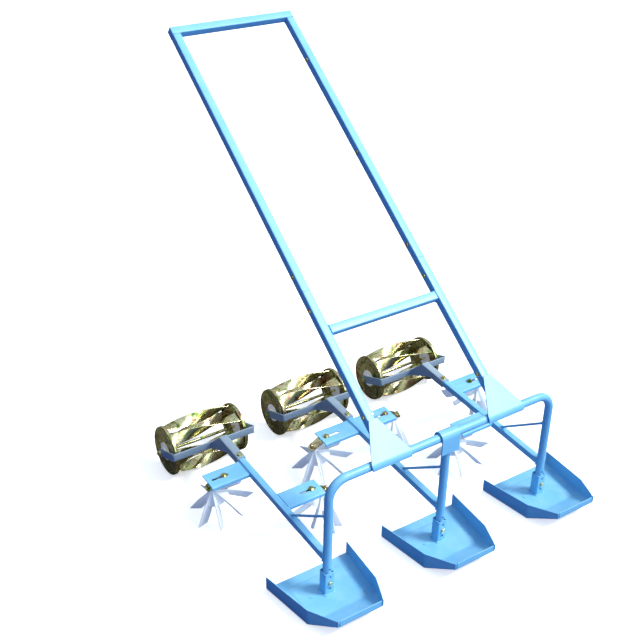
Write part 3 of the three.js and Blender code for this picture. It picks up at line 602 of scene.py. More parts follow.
def domed_nut(bm, place, across, height):
    hex_block(bm, place, across, height * 0.5)
    radius = across * 0.46
    dome = [(0, height * 0.4), (radius, height * 0.4)]
    dome += [(radius * math.cos(a), height * (0.42 + 0.58 * math.sin(a))) for a in quarter_turn(8)]
    lathe(bm, dome, 32, place)


def button_head(bm, place, radius, height):
    dome = [(0, 0), (radius, 0)]
    dome += [(radius * math.cos(a), height * (0.25 + 0.75 * math.sin(a))) for a in quarter_turn(8)]
    lathe(bm, dome, 28, place)


def tube_box(bm, start, end, size, up, corner=2.2 * MM):
    """A length of square tube, drawn with its ends closed."""
    sweep(bm, [start, end], box_ring(size, size, corner), up)


# ---- front frame ------------------------------------------------------------------------------------------

STRUT_HOLE_HEIGHT = 67 * MM
STRUT_HOLE_RADIUS = 3.35 * MM


def strut_hole(x):
    """The plain hole that shows in a strut above its socket."""
    bm = bmesh.new()
    place = Matrix.Translation((x, -2 * PIPE_RADIUS, STRUT_HOLE_HEIGHT)) @ ALONG_Y
    rod(bm, place, STRUT_HOLE_RADIUS, 0, 4 * PIPE_RADIUS)
    return bm


def pipe(bm, path):
    sweep(bm, path, circle_ring(PIPE_RADIUS, 40), (0, 1, 0))


def strut_piece(name, bm, replaced, *stations):
    """A pipe of the frame, with a hole in the strut at each station across the machine."""
    piece = finished(name, bm, BLUE, "frame", [replaced], angle=40)
    carve(piece, *[strut_hole(x) for x in stations])
    piece.data.set_sharp_from_angle(angle=math.radians(40))


def front_pipe():
    reach = ROWS["right"]
    left = [(-reach, 0, STRUT_FOOT), (-reach, 0, CROSS_HEIGHT)]
    right = [(reach, 0, CROSS_HEIGHT), (reach, 0, STRUT_FOOT)]
    bm = bmesh.new()
    pipe(bm, rounded_path(left + right, BEND_RADIUS, 18))
    strut_piece("arched_front_pipe", bm, "front_pipe", -reach, reach)


def fold_profile(inner, front_low, rear_low, steps=20):
    """Side section of a sheet hung over the cross pipe: (y, z) from its front edge to its rear edge."""
    points = [(-inner, front_low), (-inner, (front_low + CROSS_HEIGHT) / 2)]
    for i in range(steps + 1):
        a = math.pi * (1 - i / steps)
        points.append((inner * math.cos(a), CROSS_HEIGHT + inner * math.sin(a)))
    return points + [(inner, (rear_low + CROSS_HEIGHT) / 2), (inner, rear_low)]


def middle_strut():
    bm = bmesh.new()
    pipe(bm, [(0, 0, STRUT_FOOT), (0, 0, CROSS_HEIGHT - 2 * MM)])
    strut_piece("middle_strut_pipe", bm, "centre_strut", 0)
    half = 24 * MM
    outer = PIPE_RADIUS + 2.8 * MM
    bm = bmesh.new()
    rows = [[(x, y, z) for y, z in fold_profile(outer, 247 * MM, 272 * MM)] for x in
            (-half, -half / 3, half / 3, half)]
    loft(bm, rows, closed_ring=False)
    finished("strut_saddle", bm, BLUE, "frame", thickness=2.5 * MM, edge=0.7 * MM)


def gusset(side):
    """Flared plate on the front of an upright. It rolls over the cross pipe into a short lip."""
    x = side * abs(UPRIGHT_X)
    outer = UPRIGHT / 2 + 2.8 * MM
    rise, base, top_half = 86 * MM, 50 * MM, 10 * MM
    drop = CROSS_HEIGHT - 281 * MM
    stations = [(rise * (1 - i / 12), 0.0) for i in range(12)]
    turns = [HANDLE_LEAN * i / 12 for i in range(13)]
    rows = []
    columns = [i / 10 - 1 for i in range(21)]
    for height, _ in stations:
        half = top_half + (base - top_half) * (1 - height / rise)
        rows.append([(x + half * c, -outer, height) for c in columns])
    for turn in turns:
        rows.append([(x + base * c, -outer * math.cos(turn), -outer * math.sin(turn)) for c in columns])
    for share in (0.35, 0.7, 1.0):
        y = -outer * math.cos(HANDLE_LEAN) + drop * share * math.sin(HANDLE_LEAN)
        z = -outer * math.sin(HANDLE_LEAN) - drop * share * math.cos(HANDLE_LEAN)
        rows.append([(x + base * c, y, z) for c in columns])
    bm = bmesh.new()
    loft(bm, rows, closed_ring=False)
    name = "left_gusset" if side < 0 else "right_gusset"
    finished(f"{name}_plate", bm, BLUE, "frame", [name], HANDLE, thickness=2.5 * MM, edge=0.8 * MM)


# ---- handle -----------------------------------------------------------------------------------------------

def handle():
    gap = 0.15 * MM
    top = HANDLE_LENGTH - UPRIGHT
    for side, word in ((-1, "left"), (1, "right")):
        x = side * abs(UPRIGHT_X)
        ends = {"lower": (4 * MM, SPLICE_STATION - gap), "upper": (SPLICE_STATION + gap, top)}
        for length, (low, high) in ends.items():
            bm = bmesh.new()
            tube_box(bm, (x, 0, low), (x, 0, high), UPRIGHT, (0, 1, 0))
            node_name = f"{word}_{length}_upright"
            finished(f"{node_name}_tube", bm, BLUE, "frame", [node_name], HANDLE, edge=0.4 * MM)
        gusset(side)
        upright_bolts(side, word)
    reach = abs(UPRIGHT_X) - UPRIGHT / 2
    bm = bmesh.new()
    tube_box(bm, (-reach, 0, CROSSBAR_STATION), (reach, 0, CROSSBAR_STATION), UPRIGHT, (0, 0, 1))
    finished("crossbar_tube", bm, BLUE, "frame", ["crossbar"], HANDLE, edge=0.4 * MM)
    end = abs(UPRIGHT_X) + UPRIGHT / 2
    bm = bmesh.new()
    middle_z = HANDLE_LENGTH - UPRIGHT / 2
    tube_box(bm, (-end + 0.8 * MM, 0, middle_z), (end - 0.8 * MM, 0, middle_z), UPRIGHT, (0, 0, 1))
    finished("push_bar_tube", bm, BLUE, "frame", ["top_bar"], HANDLE, edge=0.4 * MM)
    for side, word in ((-1, "left"), (1, "right")):
        bm = bmesh.new()
        ring = box_ring(UPRIGHT - 1.2 * MM, UPRIGHT - 1.2 * MM, 2 * MM)
        sweep(bm, [(side * (end - 1.5 * MM), 0, middle_z), (side * end, 0, middle_z)], ring, (0, 0, 1))
        finished(f"{word}_push_bar_cap", bm, BLUE, "frame", (), HANDLE, edge=0.5 * MM)


def upright_bolts(side, word):
    """Button-headed bolts through an upright: three on each, and two more high up on the right one."""
    stations = [98, 352, 436] + ([694, 967] if side > 0 else [])
    x = side * abs(UPRIGHT_X)
    bm = bmesh.new()
    for station in stations:
        z = station * MM
        face = Matrix.Translation((x - UPRIGHT / 2, 0, z)) @ AGAINST_X
        washer(bm, face, 5.6 * MM, 2 * MM, 0.8 * MM)
        button_head(bm, face @ Matrix.Translation((0, 0, 0.8 * MM)), 4.6 * MM, 3.2 * MM)
        back = Matrix.Translation((x + UPRIGHT / 2, 0, z)) @ ALONG_X
        hex_block(bm, back, 8 * MM, 4 * MM)
        threaded_end(bm, back @ Matrix.Translation((0, 0, 4 * MM)), 2.4 * MM, 2.2 * MM, 0.8 * MM)
    finished(f"{word}_upright_bolts", bm, ZINC, "frame", (), HANDLE)


# ---- skids ------------------------------------------------------------------------------------------------

PAN_REAR, PAN_BEND, PAN_NOSE = 74 * MM, -56 * MM, -122 * MM
PAN_NOSE_RISE = 30 * MM
PAN_NOSE_TOP = 47 * MM
PAN_COLUMNS = 96
PAN_FOLD = SHEET_FOLD + SKID_SHEET  # outside radius of the pan's folds


def sheet_skin(bm, rows, keep):
    """One side of a folded sheet, without the cells that keep leaves out."""
    loft(bm, rows, closed_ring=False, keep=keep)
    bmesh.ops.delete(bm, geom=[v for v in bm.verts if not v.link_faces], context="VERTS")
    bmesh.ops.recalc_face_normals(bm, faces=bm.faces)


def skid_shape(y):
    """Half width, floor height and rim height of the pan at a distance along it."""
    if y >= PAN_BEND:
        share = (PAN_REAR - y) / (PAN_REAR - PAN_BEND)
        return (103 - 17 * share) * MM, 0.0, (34 + 6 * share) * MM
    share = (PAN_BEND - y) / (PAN_BEND - PAN_NOSE)
    return (86 - 30 * share) * MM, PAN_NOSE_RISE * share, (40 + 7 * share) * MM


def soft_step(value, low, high):
    t = min(1.0, max(0.0, (value - low) / (high - low)))
    return t * t * (3 - 2 * t)


def pressed_floor(x, y):
    """Height of the panel that is pressed up in the floor of the pan."""
    inside = (1 - soft_step(abs(x), 64 * MM, 66.5 * MM)) * (1 - soft_step(y, 46 * MM, 48.5 * MM))
    return 1.6 * MM * inside * soft_step(y, -60 * MM, -55 * MM)


def skid_row(y):
    """One line across the pan, from the left rim down, over the floor and up to the right rim."""
    half, floor, rim = skid_shape(y)
    wall = [(half, rim - (rim - floor - PAN_FOLD) * i / 3) for i in range(4)]
    bend = [(half - PAN_FOLD * (1 - math.cos(a)), floor + PAN_FOLD * (1 - math.sin(a)))
            for a in quarter_turn(5, 1)]
    side = wall + bend
    inner = half - PAN_FOLD
    deck = [(inner * (1 - 2 * i / PAN_COLUMNS), floor) for i in range(1, PAN_COLUMNS)]
    line = side + deck + [(-x, z) for x, z in reversed(side)]
    return [(-x, y, z + (pressed_floor(x, y) if z < floor + 0.1 * MM else 0)) for x, z in line]


def skid_pan(row):
    """The folded pan: walls and floor as lines across it, then the nose turned up into a lip."""
    ys = [PAN_REAR - (PAN_REAR - PAN_BEND) * i / 65 for i in range(66)]
    ys += [PAN_BEND - (PAN_BEND - PAN_NOSE) * i / 12 for i in range(1, 13)]
    rows = [skid_row(y) for y in ys]
    first, count = 8, len(rows[0])
    last = count - 1 - first
    nose_row = rows[-1]
    slope = math.atan2(PAN_NOSE_RISE, PAN_BEND - PAN_NOSE)
    turn = math.pi / 2 - slope
    cut = PAN_FOLD * math.tan(turn / 2)
    lip_rows = len(rows)
    direction = Vector((0, -math.cos(slope), math.sin(slope)))
    outward = Vector((0, -math.sin(slope), -math.cos(slope)))
    pulled = [Vector(p) - direction * cut for p in nose_row]
    rows[-1] = [tuple(p) for p in pulled]
    rows[-2] = [tuple(Vector(a).lerp(Vector(b), 0.5)) for a, b in zip(rows[-3], rows[-1])]
    rows[-1][:first] = nose_row[:first]
    rows[-1][last + 1:] = nose_row[last + 1:]
    for i in range(1, 7):
        angle = turn * i / 6
        shift = direction * (PAN_FOLD * math.sin(angle)) - outward * (PAN_FOLD * (1 - math.cos(angle)))
        rows.append([tuple(p + shift) for p in pulled])
    upright = rows[-1]
    for share in (0.5, 1.0):
        rows.append([(x, y, z + (PAN_NOSE_TOP - z) * share) for x, y, z in upright])

    def keep(r, i):
        return r < lip_rows - 1 or first <= i < last

    bm = bmesh.new()
    sheet_skin(bm, rows, keep)
    lowest = min(bm.faces, key=lambda f: f.calc_center_median().z)
    if lowest.normal.z > 0:
        bmesh.ops.reverse_faces(bm, faces=bm.faces)
    place = Matrix.Translation((ROWS[row], 0, 0))
    finished(f"{row}_skid_pan", bm, BLUE, f"{row}_skid_unit", [f"{row}_skid"], place,
             thickness=SKID_SHEET, edge=0.6 * MM, angle=50)


def skid_socket(row):
    place = Matrix.Translation((ROWS[row], 0, 0))
    body = f"{row}_skid_unit"
    bm = bmesh.new()
    outer = box_ring(2 * SOCKET_HALF, 2 * SOCKET_HALF, 2.4 * MM)
    bore = box_ring(2 * (PIPE_RADIUS + 0.4 * MM), 2 * (PIPE_RADIUS + 0.4 * MM), 1.2 * MM)
    foot = 1.5 * MM
    rings = [[(x, y, z) for x, y in ring] for ring, z in
             ((outer, foot), (outer, SOCKET_TOP), (bore, SOCKET_TOP), (bore, foot), (outer, foot))]
    loft(bm, rings, caps=False)
    socket = finished(f"{row}_skid_socket", bm, BLUE, body, (), place, edge=0.35 * MM, angle=50)
    cutters = []
    for height in (18 * MM, 33 * MM, 48 * MM):
        hole = bmesh.new()
        across = Matrix.Translation((ROWS[row], -2 * SOCKET_HALF, height)) @ ALONG_Y
        rod(hole, across, 3.3 * MM, 0, 4 * SOCKET_HALF)
        cutters.append(hole)
    carve(socket, *cutters)
    bm = bmesh.new()
    floor = SKID_SHEET + 2.0 * MM
    weld(bm, [(x, y, floor) for x, y in box_ring(2 * SOCKET_HALF + 2 * MM, 2 * SOCKET_HALF + 2 * MM, 3 * MM)],
         2.2 * MM, ord(row[0]))
    finished(f"{row}_socket_weld", bm, BLUE, body, (), place, angle=60)
    bm = bmesh.new()
    tab = [(-34 * MM + x, y) for x, y in box_ring(15 * MM, 8 * MM, 3.9 * MM, 6)]
    plate(bm, tab, 2.2 * MM, place=Matrix.Translation((0, 0, SKID_SHEET + 0.8 * MM)))
    finished(f"{row}_skid_tab", bm, BLUE, body, (), place, edge=0.7 * MM)


def skid_bolt(row):
    face = SOCKET_HALF + 0.2 * MM
    bm = bmesh.new()
    front = Matrix.Translation((ROWS[row], -face, SKID_BOLT_HEIGHT)) @ ALONG_Y @ UPSIDE_DOWN
    back = Matrix.Translation((ROWS[row], face, SKID_BOLT_HEIGHT)) @ ALONG_Y
    hex_block(bm, front, 9.6 * MM, 4 * MM)
    hex_block(bm, back, 9.6 * MM, 4.6 * MM)
    threaded_end(bm, back @ Matrix.Translation((0, 0, 4.6 * MM)), 2.9 * MM, 2 * MM)
    rod(bm, Matrix.Translation((ROWS[row], -face, SKID_BOLT_HEIGHT)) @ ALONG_Y, 2.9 * MM, 0, 2 * face)
    finished(f"{row}_skid_hex_bolt", bm, ZINC, f"{row}_skid_unit", [f"{row}_skid_bolt"])


# ---- arms -------------------------------------------------------------------------------------------------

ARM_END = 390 * MM
YOKE_START = 348 * MM
YOKE_STOP = 437 * MM
YOKE_BOLT = 359 * MM
YOKE_OUTER = ARM / 2 + 2.5 * MM
YOKE_SHEET = 2.2 * MM
WEB = along_arm(475 * MM, 87 * MM)
AXLE = along_arm(545 * MM, ROTOR_RADIUS)


def arm(row):
    bm = bmesh.new()
    tube_box(bm, (0, 3 * MM, 0), (0, ARM_END, 0), ARM, (0, 0, 1), 1.8 * MM)
    finished(f"{row}_arm_tube", bm, BLUE, "frame", [f"{row}_arm"], arm_frame(row), edge=0.35 * MM)


def brace_ends():
    """Upper and lower end of a brace's middle line in the row's frame."""
    station = 146 * MM
    foot = Vector((0, station * math.cos(ARM_RISE), ARM_HEIGHT + station * math.sin(ARM_RISE)))
    return Vector((0, 0, 202 * MM)), foot


def brace(row):
    high, foot = brace_ends()
    bm = bmesh.new()
    run = (foot - high).normalized()
    start = high + run * (PIPE_RADIUS * 0.9)
    end = foot - run * (ARM / 2 * 1.2)
    sweep(bm, [start, end], circle_ring(BRACE_RADIUS * 0.98, 24), (1, 0, 0))
    place = Matrix.Translation((ROWS[row], 0, 0))
    finished(f"{row}_brace_bar", bm, BLUE, "frame", [f"{row}_brace_rod"], place, angle=60)


def saddle_loop(half, radius, steps=8):
    """Where a square tube of that half size meets the back of a strut: points around the joint."""
    points = []
    for x, z in box_ring(2 * half, 2 * half, 1.8 * MM, steps):
        points.append((x, math.sqrt(max(radius * radius - x * x, (0.35 * radius) ** 2)), z))
    return points


def frame_welds(row):
    """Weld beads of one row: arm to strut, brace ends and brackets."""
    bm = bmesh.new()
    seed = ord(row[0])
    weld(bm, saddle_loop(ARM / 2 + 0.6 * MM, PIPE_RADIUS + 0.8 * MM), 1.7 * MM, seed)
    for name, (owner, side, station, top) in STARS.items():
        if owner == row:
            x = side * (ARM / 2 + 0.5 * MM)
            ends = [(x, station - PLATE_WIDTH / 2 + 2 * MM, top + 0.2 * MM),
                    (x, station + PLATE_WIDTH / 2 - 2 * MM, top + 0.2 * MM)]
            weld(bm, ends, 1.5 * MM, seed + len(name), closed=False, up=(0, 0, 1))
    bm.transform(arm_frame(row))
    high, foot = brace_ends()
    offset = Vector((ROWS[row], 0, 0))
    run = (foot - high).normalized()
    across = Vector((1, 0, 0))
    over = across.cross(run)
    upper_joint = high + run * (PIPE_RADIUS + 2.2 * MM)
    lower_joint = foot - run * (ARM / 2 * 1.45)
    for point, stretch in ((upper_joint, 0.9), (lower_joint, 1.5)):
        ring = [offset + point + across * (x * 1.15) + over * (y * 1.15) + run * (y * 0.4 * stretch)
                for x, y in circle_ring(BRACE_RADIUS, 16)]
        weld(bm, ring, 1.5 * MM, seed + 5)
    finished(f"{row}_arm_welds", bm, BLUE, "frame", angle=60)


def handle_welds():
    bm = bmesh.new()
    reach = abs(UPRIGHT_X) - UPRIGHT / 2
    for number, side in enumerate((-1, 1)):
        loop = [(side * (reach - 0.7 * MM), y, CROSSBAR_STATION + z)
                for y, z in box_ring(UPRIGHT + 0.6 * MM, UPRIGHT + 0.6 * MM, 2.4 * MM)]
        weld(bm, loop, 1.6 * MM, 3 + number)
        loop = [(side * abs(UPRIGHT_X) + x, y, HANDLE_LENGTH - UPRIGHT - 0.4 * MM)
                for x, y in box_ring(UPRIGHT - 0.6 * MM, UPRIGHT - 0.6 * MM, 2.4 * MM)]
        weld(bm, loop, 1.5 * MM, 7 + number)
        foot = [(side * abs(UPRIGHT_X) + x, y, math.sqrt(max((PIPE_RADIUS + 1.2 * MM) ** 2 - y * y, 1e-6)))
                for x, y in box_ring(UPRIGHT + 1.5 * MM, 1.72 * PIPE_RADIUS, 2.4 * MM, 6)]
        weld(bm, foot, 1.8 * MM, 11 + number)
    bm.transform(HANDLE)
    around = [(1.04 * x, 1.04 * y, 246.5 * MM) for x, y in circle_ring(PIPE_RADIUS, 24) if y < 3 * MM]
    around.sort(key=lambda p: math.atan2(p[0], -p[1]))
    weld(bm, around, 1.7 * MM, 17, closed=False, up=(0, 0, 1))
    finished("handle_welds", bm, BLUE, "frame", angle=60)


# ---- yoke and fork ----------------------------------------------------------------------------------------

def yoke_channel(row):
    """Sheet folded over the arm: a top with two cheeks that run down to the web of the fork."""
    low = -ARM / 2 - 1 * MM
    slope_start = ARM_END + 10 * MM
    half = FORK_DEPTH / 2
    end = WEB[0] + 1.5 * MM
    stations = [YOKE_START + (YOKE_STOP - YOKE_START) * i / 10 for i in range(11)]
    stations += [YOKE_STOP + (end - YOKE_STOP) * i / 6 for i in range(1, 7)]
    fold = 2.4 * MM
    rows = []
    for y in stations:
        share = max(0.0, (y - slope_start) / (end - slope_start))
        bottom = low + (WEB[1] - half - low) * share
        fall = max(0.0, (y - YOKE_STOP) / (end - YOKE_STOP))
        top = YOKE_OUTER + (WEB[1] + half - YOKE_OUTER) * fall
        cheek = [(YOKE_OUTER, bottom + (top - fold - bottom) * i / 4) for i in range(5)]
        bend = [(YOKE_OUTER - fold * (1 - math.cos(a)), top - fold * (1 - math.sin(a)))
                for a in quarter_turn(4, 1)]
        side = cheek + bend
        crown = [((YOKE_OUTER - fold) * (1 - i / 2), top) for i in range(1, 4)]
        line = side + crown + [(-x, z) for x, z in reversed(side)]
        rows.append([(x, y, z) for x, z in line])
    last = len(rows[0]) - 1

    def keep(r, i):
        return r < 10 or i < 4 or i >= last - 4

    bm = bmesh.new()
    sheet_skin(bm, rows, keep)
    crown_face = max(bm.faces, key=lambda f: f.calc_center_median().z)
    if crown_face.normal.z < 0:
        bmesh.ops.reverse_faces(bm, faces=bm.faces)
    finished(f"{row}_yoke_channel", bm, GREY, "frame", [f"{row}_rotor_yoke"], arm_frame(row),
             thickness=YOKE_SHEET, edge=0.6 * MM, angle=50)


def fork(row):
    """Flat bar bent into a fork, with an eye for the axle on each leg."""
    x = FORK_INNER + FORK_SHEET / 2
    web_y = WEB[0] + FORK_SHEET / 2
    corners = [(-x, AXLE[0], AXLE[1]), (-x, web_y, WEB[1]), (x, web_y, WEB[1]), (x, AXLE[0], AXLE[1])]
    bm = bmesh.new()
    sweep(bm, rounded_path(corners, 4.5 * MM, 8), box_ring(FORK_SHEET, FORK_DEPTH, 1 * MM, 3), (0, 0, 1))
    for side in (-1, 1):
        eye = Matrix.Translation((side * x - FORK_SHEET / 2, AXLE[0], AXLE[1])) @ ALONG_X
        rim = 11 * MM
        lathe(bm, [(4.1 * MM, 0), (rim - 0.8 * MM, 0), (rim, 0.8 * MM), (rim, FORK_SHEET - 0.8 * MM),
                   (rim - 0.8 * MM, FORK_SHEET), (4.1 * MM, FORK_SHEET)], 40, eye)
    finished(f"{row}_fork_bar", bm, GREY, "frame", (), arm_frame(row), angle=35)
    bm = bmesh.new()
    for side in (-1, 1):
        edge = side * (YOKE_OUTER + 0.8 * MM)
        weld(bm, [(edge, WEB[0] - 0.5 * MM, WEB[1] - 9 * MM), (edge, WEB[0] - 0.5 * MM, WEB[1] + 9 * MM)],
             1.6 * MM, ord(row[0]) + side, closed=False, up=(1, 0, 0))
    finished(f"{row}_fork_welds", bm, GREY, "frame", (), arm_frame(row), angle=60)


def yoke_bolt(row):
    bm = bmesh.new()
    top = Matrix.Translation((0, YOKE_BOLT, YOKE_OUTER))
    washer(bm, top, 6.4 * MM, 3 * MM, 1.1 * MM)
    hex_block(bm, top @ Matrix.Translation((0, 0, 1.1 * MM)), 9.6 * MM, 3.8 * MM)
    under = Matrix.Translation((0, YOKE_BOLT, -ARM / 2 - 0.2 * MM)) @ UPSIDE_DOWN
    hex_block(bm, under, 9.6 * MM, 4.6 * MM)
    threaded_end(bm, under @ Matrix.Translation((0, 0, 4.6 * MM)), 2.9 * MM, 2 * MM)
    finished(f"{row}_yoke_hex_bolt", bm, ZINC, "frame", [f"{row}_yoke_bolt"], arm_frame(row))


# ---- rotors -----------------------------------------------------------------------------------------------

def rotor_disc_profile(face):
    """Section of a pressed disc: hub dish, flat, and a rim rolled inwards, from the middle of the rotor."""
    sheet = 2 * MM
    rim_depth = 9 * MM
    fold = 3 * MM
    outer = [(21 * MM, face - 0.4 * MM), (30 * MM, face - 0.4 * MM), (31.5 * MM, face - 1.2 * MM),
             (44 * MM, face - 1.2 * MM), (45.5 * MM, face - 0.2 * MM)]
    outer += [(ROTOR_RADIUS - fold + fold * math.sin(a), face - fold + fold * math.cos(a))
              for a in quarter_turn(6)]
    outer += [(ROTOR_RADIUS, face - rim_depth + 1 * MM), (ROTOR_RADIUS - 0.5 * MM, face - rim_depth)]
    bore = ROTOR_RADIUS - sheet
    back = face - sheet
    inner = [(bore + 0.3 * MM, face - rim_depth), (bore, face - rim_depth + 1 * MM), (bore, face - fold),
             (ROTOR_RADIUS - fold, back), (45 * MM, back - 0.2 * MM), (31 * MM, back - 1.2 * MM),
             (21 * MM, back - 0.4 * MM)]
    return outer + inner


def rotor_blade(bm, index):
    """A flat strip from disc to disc, given half a turn of twist about its own middle line."""
    reach = ROTOR_LENGTH / 2 - 1.2 * MM
    around = (index + 0.5) / BLADE_COUNT * 2 * math.pi
    out = Vector((0, -math.sin(around), math.cos(around)))
    along = Vector((0, math.cos(around), math.sin(around)))
    section = box_ring(BLADE_WIDTH, BLADE_SHEET, 0.9 * MM, 2)
    rings = []
    for i in range(49):
        x = reach * (2 * i / 48 - 1)
        turn = math.pi / 2 - math.pi * x / (2 * reach)
        wide = out * math.sin(turn) - along * math.cos(turn)
        thin = out * math.cos(turn) + along * math.sin(turn)
        centre = Vector((x, 0, 0)) + out * BLADE_CIRCLE
        rings.append([centre + wide * a + thin * b for a, b in section])
    loft(bm, rings)


def blade_tabs(bm, index):
    """The ends of a blade's tabs, peened over on the outside of both discs."""
    around = (index + 0.5) / BLADE_COUNT * 2 * math.pi
    out = Vector((0, -math.sin(around), math.cos(around)))
    along = Vector((0, math.cos(around), math.sin(around)))
    face = ROTOR_LENGTH / 2
    for side in (-1, 1):
        for offset in (-8 * MM, 8 * MM):
            centre = out * BLADE_CIRCLE + along * offset
            rings = []
            for depth, share in ((-1.5, 1.0), (0.5, 1.15), (1.1, 0.75)):
                shift = Vector((side * (face + depth * MM), 0, 0))
                rings.append([centre + shift + along * (a * share) + out * (b * share)
                              for a, b in box_ring(7 * MM, 3 * MM, 1.2 * MM, 3)])
            loft(bm, rings)


def rotor(row):
    spin = joint(f"{row}_rotor_spin")
    place = Matrix.Translation(Vector(spin["pos_m"]))
    body = f"{row}_rotor"
    bm = bmesh.new()
    for side in (-1, 1):
        turn = ALONG_X if side > 0 else AGAINST_X
        lathe(bm, rotor_disc_profile(ROTOR_LENGTH / 2), 96, turn)
    finished(f"{row}_rotor_discs", bm, ZINC, body, [f"{row}_rotor_drum"], place, angle=50)
    bm = bmesh.new()
    for index in range(BLADE_COUNT):
        rotor_blade(bm, index)
        blade_tabs(bm, index)
    finished(f"{row}_rotor_blades", bm, ZINC, body, (), place, angle=50)
    bm = bmesh.new()
    for side in (-1, 1):
        turn = ALONG_X if side > 0 else AGAINST_X
        z = ROTOR_LENGTH / 2
        section = [(4.4, 4), (9, 4), (10, 3), (10.5, 1.4), (20, 1), (22, 0.2), (22, -3.4), (20, -4)]
        section.append((4.4, -4))
        lathe(bm, [(radius * MM, z + out * MM) for radius, out in section], 64, turn)
    finished(f"{row}_rotor_bushes", bm, BUSH_NYLON, body, (), place, angle=40)


def rotor_axle(row):
    place = Matrix.Translation(Vector(joint(f"{row}_rotor_spin")["pos_m"]))
    bm = bmesh.new()
    leg_out = FORK_INNER + FORK_SHEET + 0.2 * MM
    nut = 6.4 * MM
    rod(bm, ALONG_X, 4 * MM, -leg_out, leg_out, 32)
    for side in (-1, 1):
        turn = ALONG_X if side > 0 else AGAINST_X
        seat = turn @ Matrix.Translation((0, 0, leg_out))
        hex_block(bm, seat, 13 * MM, nut)
        threaded_end(bm, seat @ Matrix.Translation((0, 0, nut)), 3.9 * MM, 2 * MM, 0.8 * MM)
        inside = ROTOR_LENGTH / 2 + 4.4 * MM
        depth = FORK_INNER - 0.3 * MM - inside
        washer(bm, turn @ Matrix.Translation((0, 0, inside)), 6.8 * MM, 3.9 * MM, depth)
    finished(f"{row}_rotor_axle_rod", bm, ZINC, "frame", [f"{row}_rotor_axle"], place)


# ---- star wheels ------------------------------------------------------------------------------------------

def star_frames(name):
    """Frames of a star: its spindle, and its stud at the level of the bracket's top."""
    _, side, _, _ = STARS[name]
    turn = Matrix.Rotation(ARM_RISE, 4, "X")
    pin = Vector(joint(f"{name}_star_spin")["pos_m"])
    reach = Vector((side * (HOLDER_BEND + HOLDER_REACH * math.cos(STAR_TILT)), 0,
                    -STRAP_DROP - HOLDER_REACH * math.sin(STAR_TILT)))
    stud = pin - turn.to_3x3() @ reach
    spindle = Matrix.Translation(pin) @ turn @ Matrix.Rotation(side * STAR_TILT, 4, "Y")
    return spindle, Matrix.Translation(stud) @ turn, side


def star_bracket(name):
    """Slotted plate with its front edge folded down."""
    owner, side, station, top = STARS[name]
    half = PLATE_WIDTH / 2
    fold = 3 * MM
    section = [(half, 0), (half, -PLATE_SHEET)]
    section += [(-half + PLATE_SHEET + 1 * MM, -PLATE_SHEET), (-half + PLATE_SHEET, -PLATE_SHEET - 1 * MM),
                (-half + PLATE_SHEET, -9 * MM), (-half, -9 * MM)]
    section += [(-half + fold * (1 - math.cos(a)), -fold * (1 - math.sin(a)))
                for a in quarter_turn(5)]
    near, far = sorted((side * (ARM / 2 + 0.1 * MM), side * (ARM / 2 + PLATE_LENGTH)))
    bm = bmesh.new()
    loft(bm, [[(x, y, z) for y, z in section] for x in (near, far)])
    place = arm_frame(owner) @ Matrix.Translation((0, station, top))
    replaced = [f"{name}_star_bracket"]
    piece = finished(f"{name}_slotted_bracket", bm, BLUE, "frame", replaced, place, edge=0.5 * MM)
    slot = bmesh.new()
    centre = side * sum(SLOT_ENDS) / 2
    length = SLOT_ENDS[1] - SLOT_ENDS[0] + 6.7 * MM
    outline = [(centre + x, y) for x, y in box_ring(length, 6.7 * MM, 3.34 * MM, 8)]
    plate(slot, outline, 4 * PLATE_SHEET, place=place @ Matrix.Translation((0, 0, -2 * PLATE_SHEET)))
    carve(piece, slot)


def star_holder(name):
    """Strap under the bracket, bent down to carry the pin, with its clamping stud, washer and nut."""
    _, stud, side = star_frames(name)
    half = HOLDER_WIDTH / 2
    start = Vector((-half, 0, 0))
    bend = Vector((HOLDER_BEND, 0, 0))
    down = Vector((math.cos(STAR_TILT), 0, -math.sin(STAR_TILT)))
    end = bend + down * (HOLDER_REACH + half)
    path = rounded_path([start, bend, end], 7 * MM, 8)
    tail = [path[-2].lerp(path[-1], i / 16) for i in range(1, 17)]
    path = path[:-1] + tail
    length_left = [(end - p).length for p in path]
    surface = []
    for i, p in enumerate(path):
        left = length_left[i] if i > 8 else half * 2
        width = math.sqrt(max(half * half - (half - left) ** 2, 1e-9)) if left < half else half
        before, after = path[max(i - 1, 0)], path[min(i + 1, len(path) - 1)]
        run = (after - before).normalized()
        lift = Vector((-run.z, 0, run.x)) * (HOLDER_SHEET / 2)
        surface.append([Vector((side * (p.x + lift.x), width * share, p.z + lift.z))
                        for share in (-1, -0.5, 0, 0.5, 1)])
    bm = bmesh.new()
    loft(bm, surface, closed_ring=False)
    bmesh.ops.recalc_face_normals(bm, faces=bm.faces)
    if bm.faces[:][0].normal.z < 0:
        bmesh.ops.reverse_faces(bm, faces=bm.faces)
    place = stud @ Matrix.Translation((0, 0, -STRAP_DROP))
    body = f"{name}_star_slide"
    finished(f"{name}_holder_strap", bm, ZINC, body, [f"{name}_star_holder"], place, thickness=HOLDER_SHEET,
             edge=0.5 * MM, angle=50)
    bm = bmesh.new()
    washer(bm, stud @ Matrix.Translation((0, 0, 0.1 * MM)), 7.5 * MM, 3 * MM, 1.2 * MM)
    hex_block(bm, stud @ Matrix.Translation((0, 0, 1.3 * MM)), 9.8 * MM, 3.8 * MM)
    threaded_end(bm, stud @ Matrix.Translation((0, 0, 5.1 * MM)), 2.9 * MM, 1.9 * MM)
    rod(bm, stud, 2.9 * MM, -7 * MM, 3 * MM)
    button_head(bm, stud @ Matrix.Translation((0, 0, -STRAP_DROP - HOLDER_SHEET / 2)) @ UPSIDE_DOWN,
                5.8 * MM, 1.9 * MM)
    finished(f"{name}_holder_stud", bm, ZINC, body)


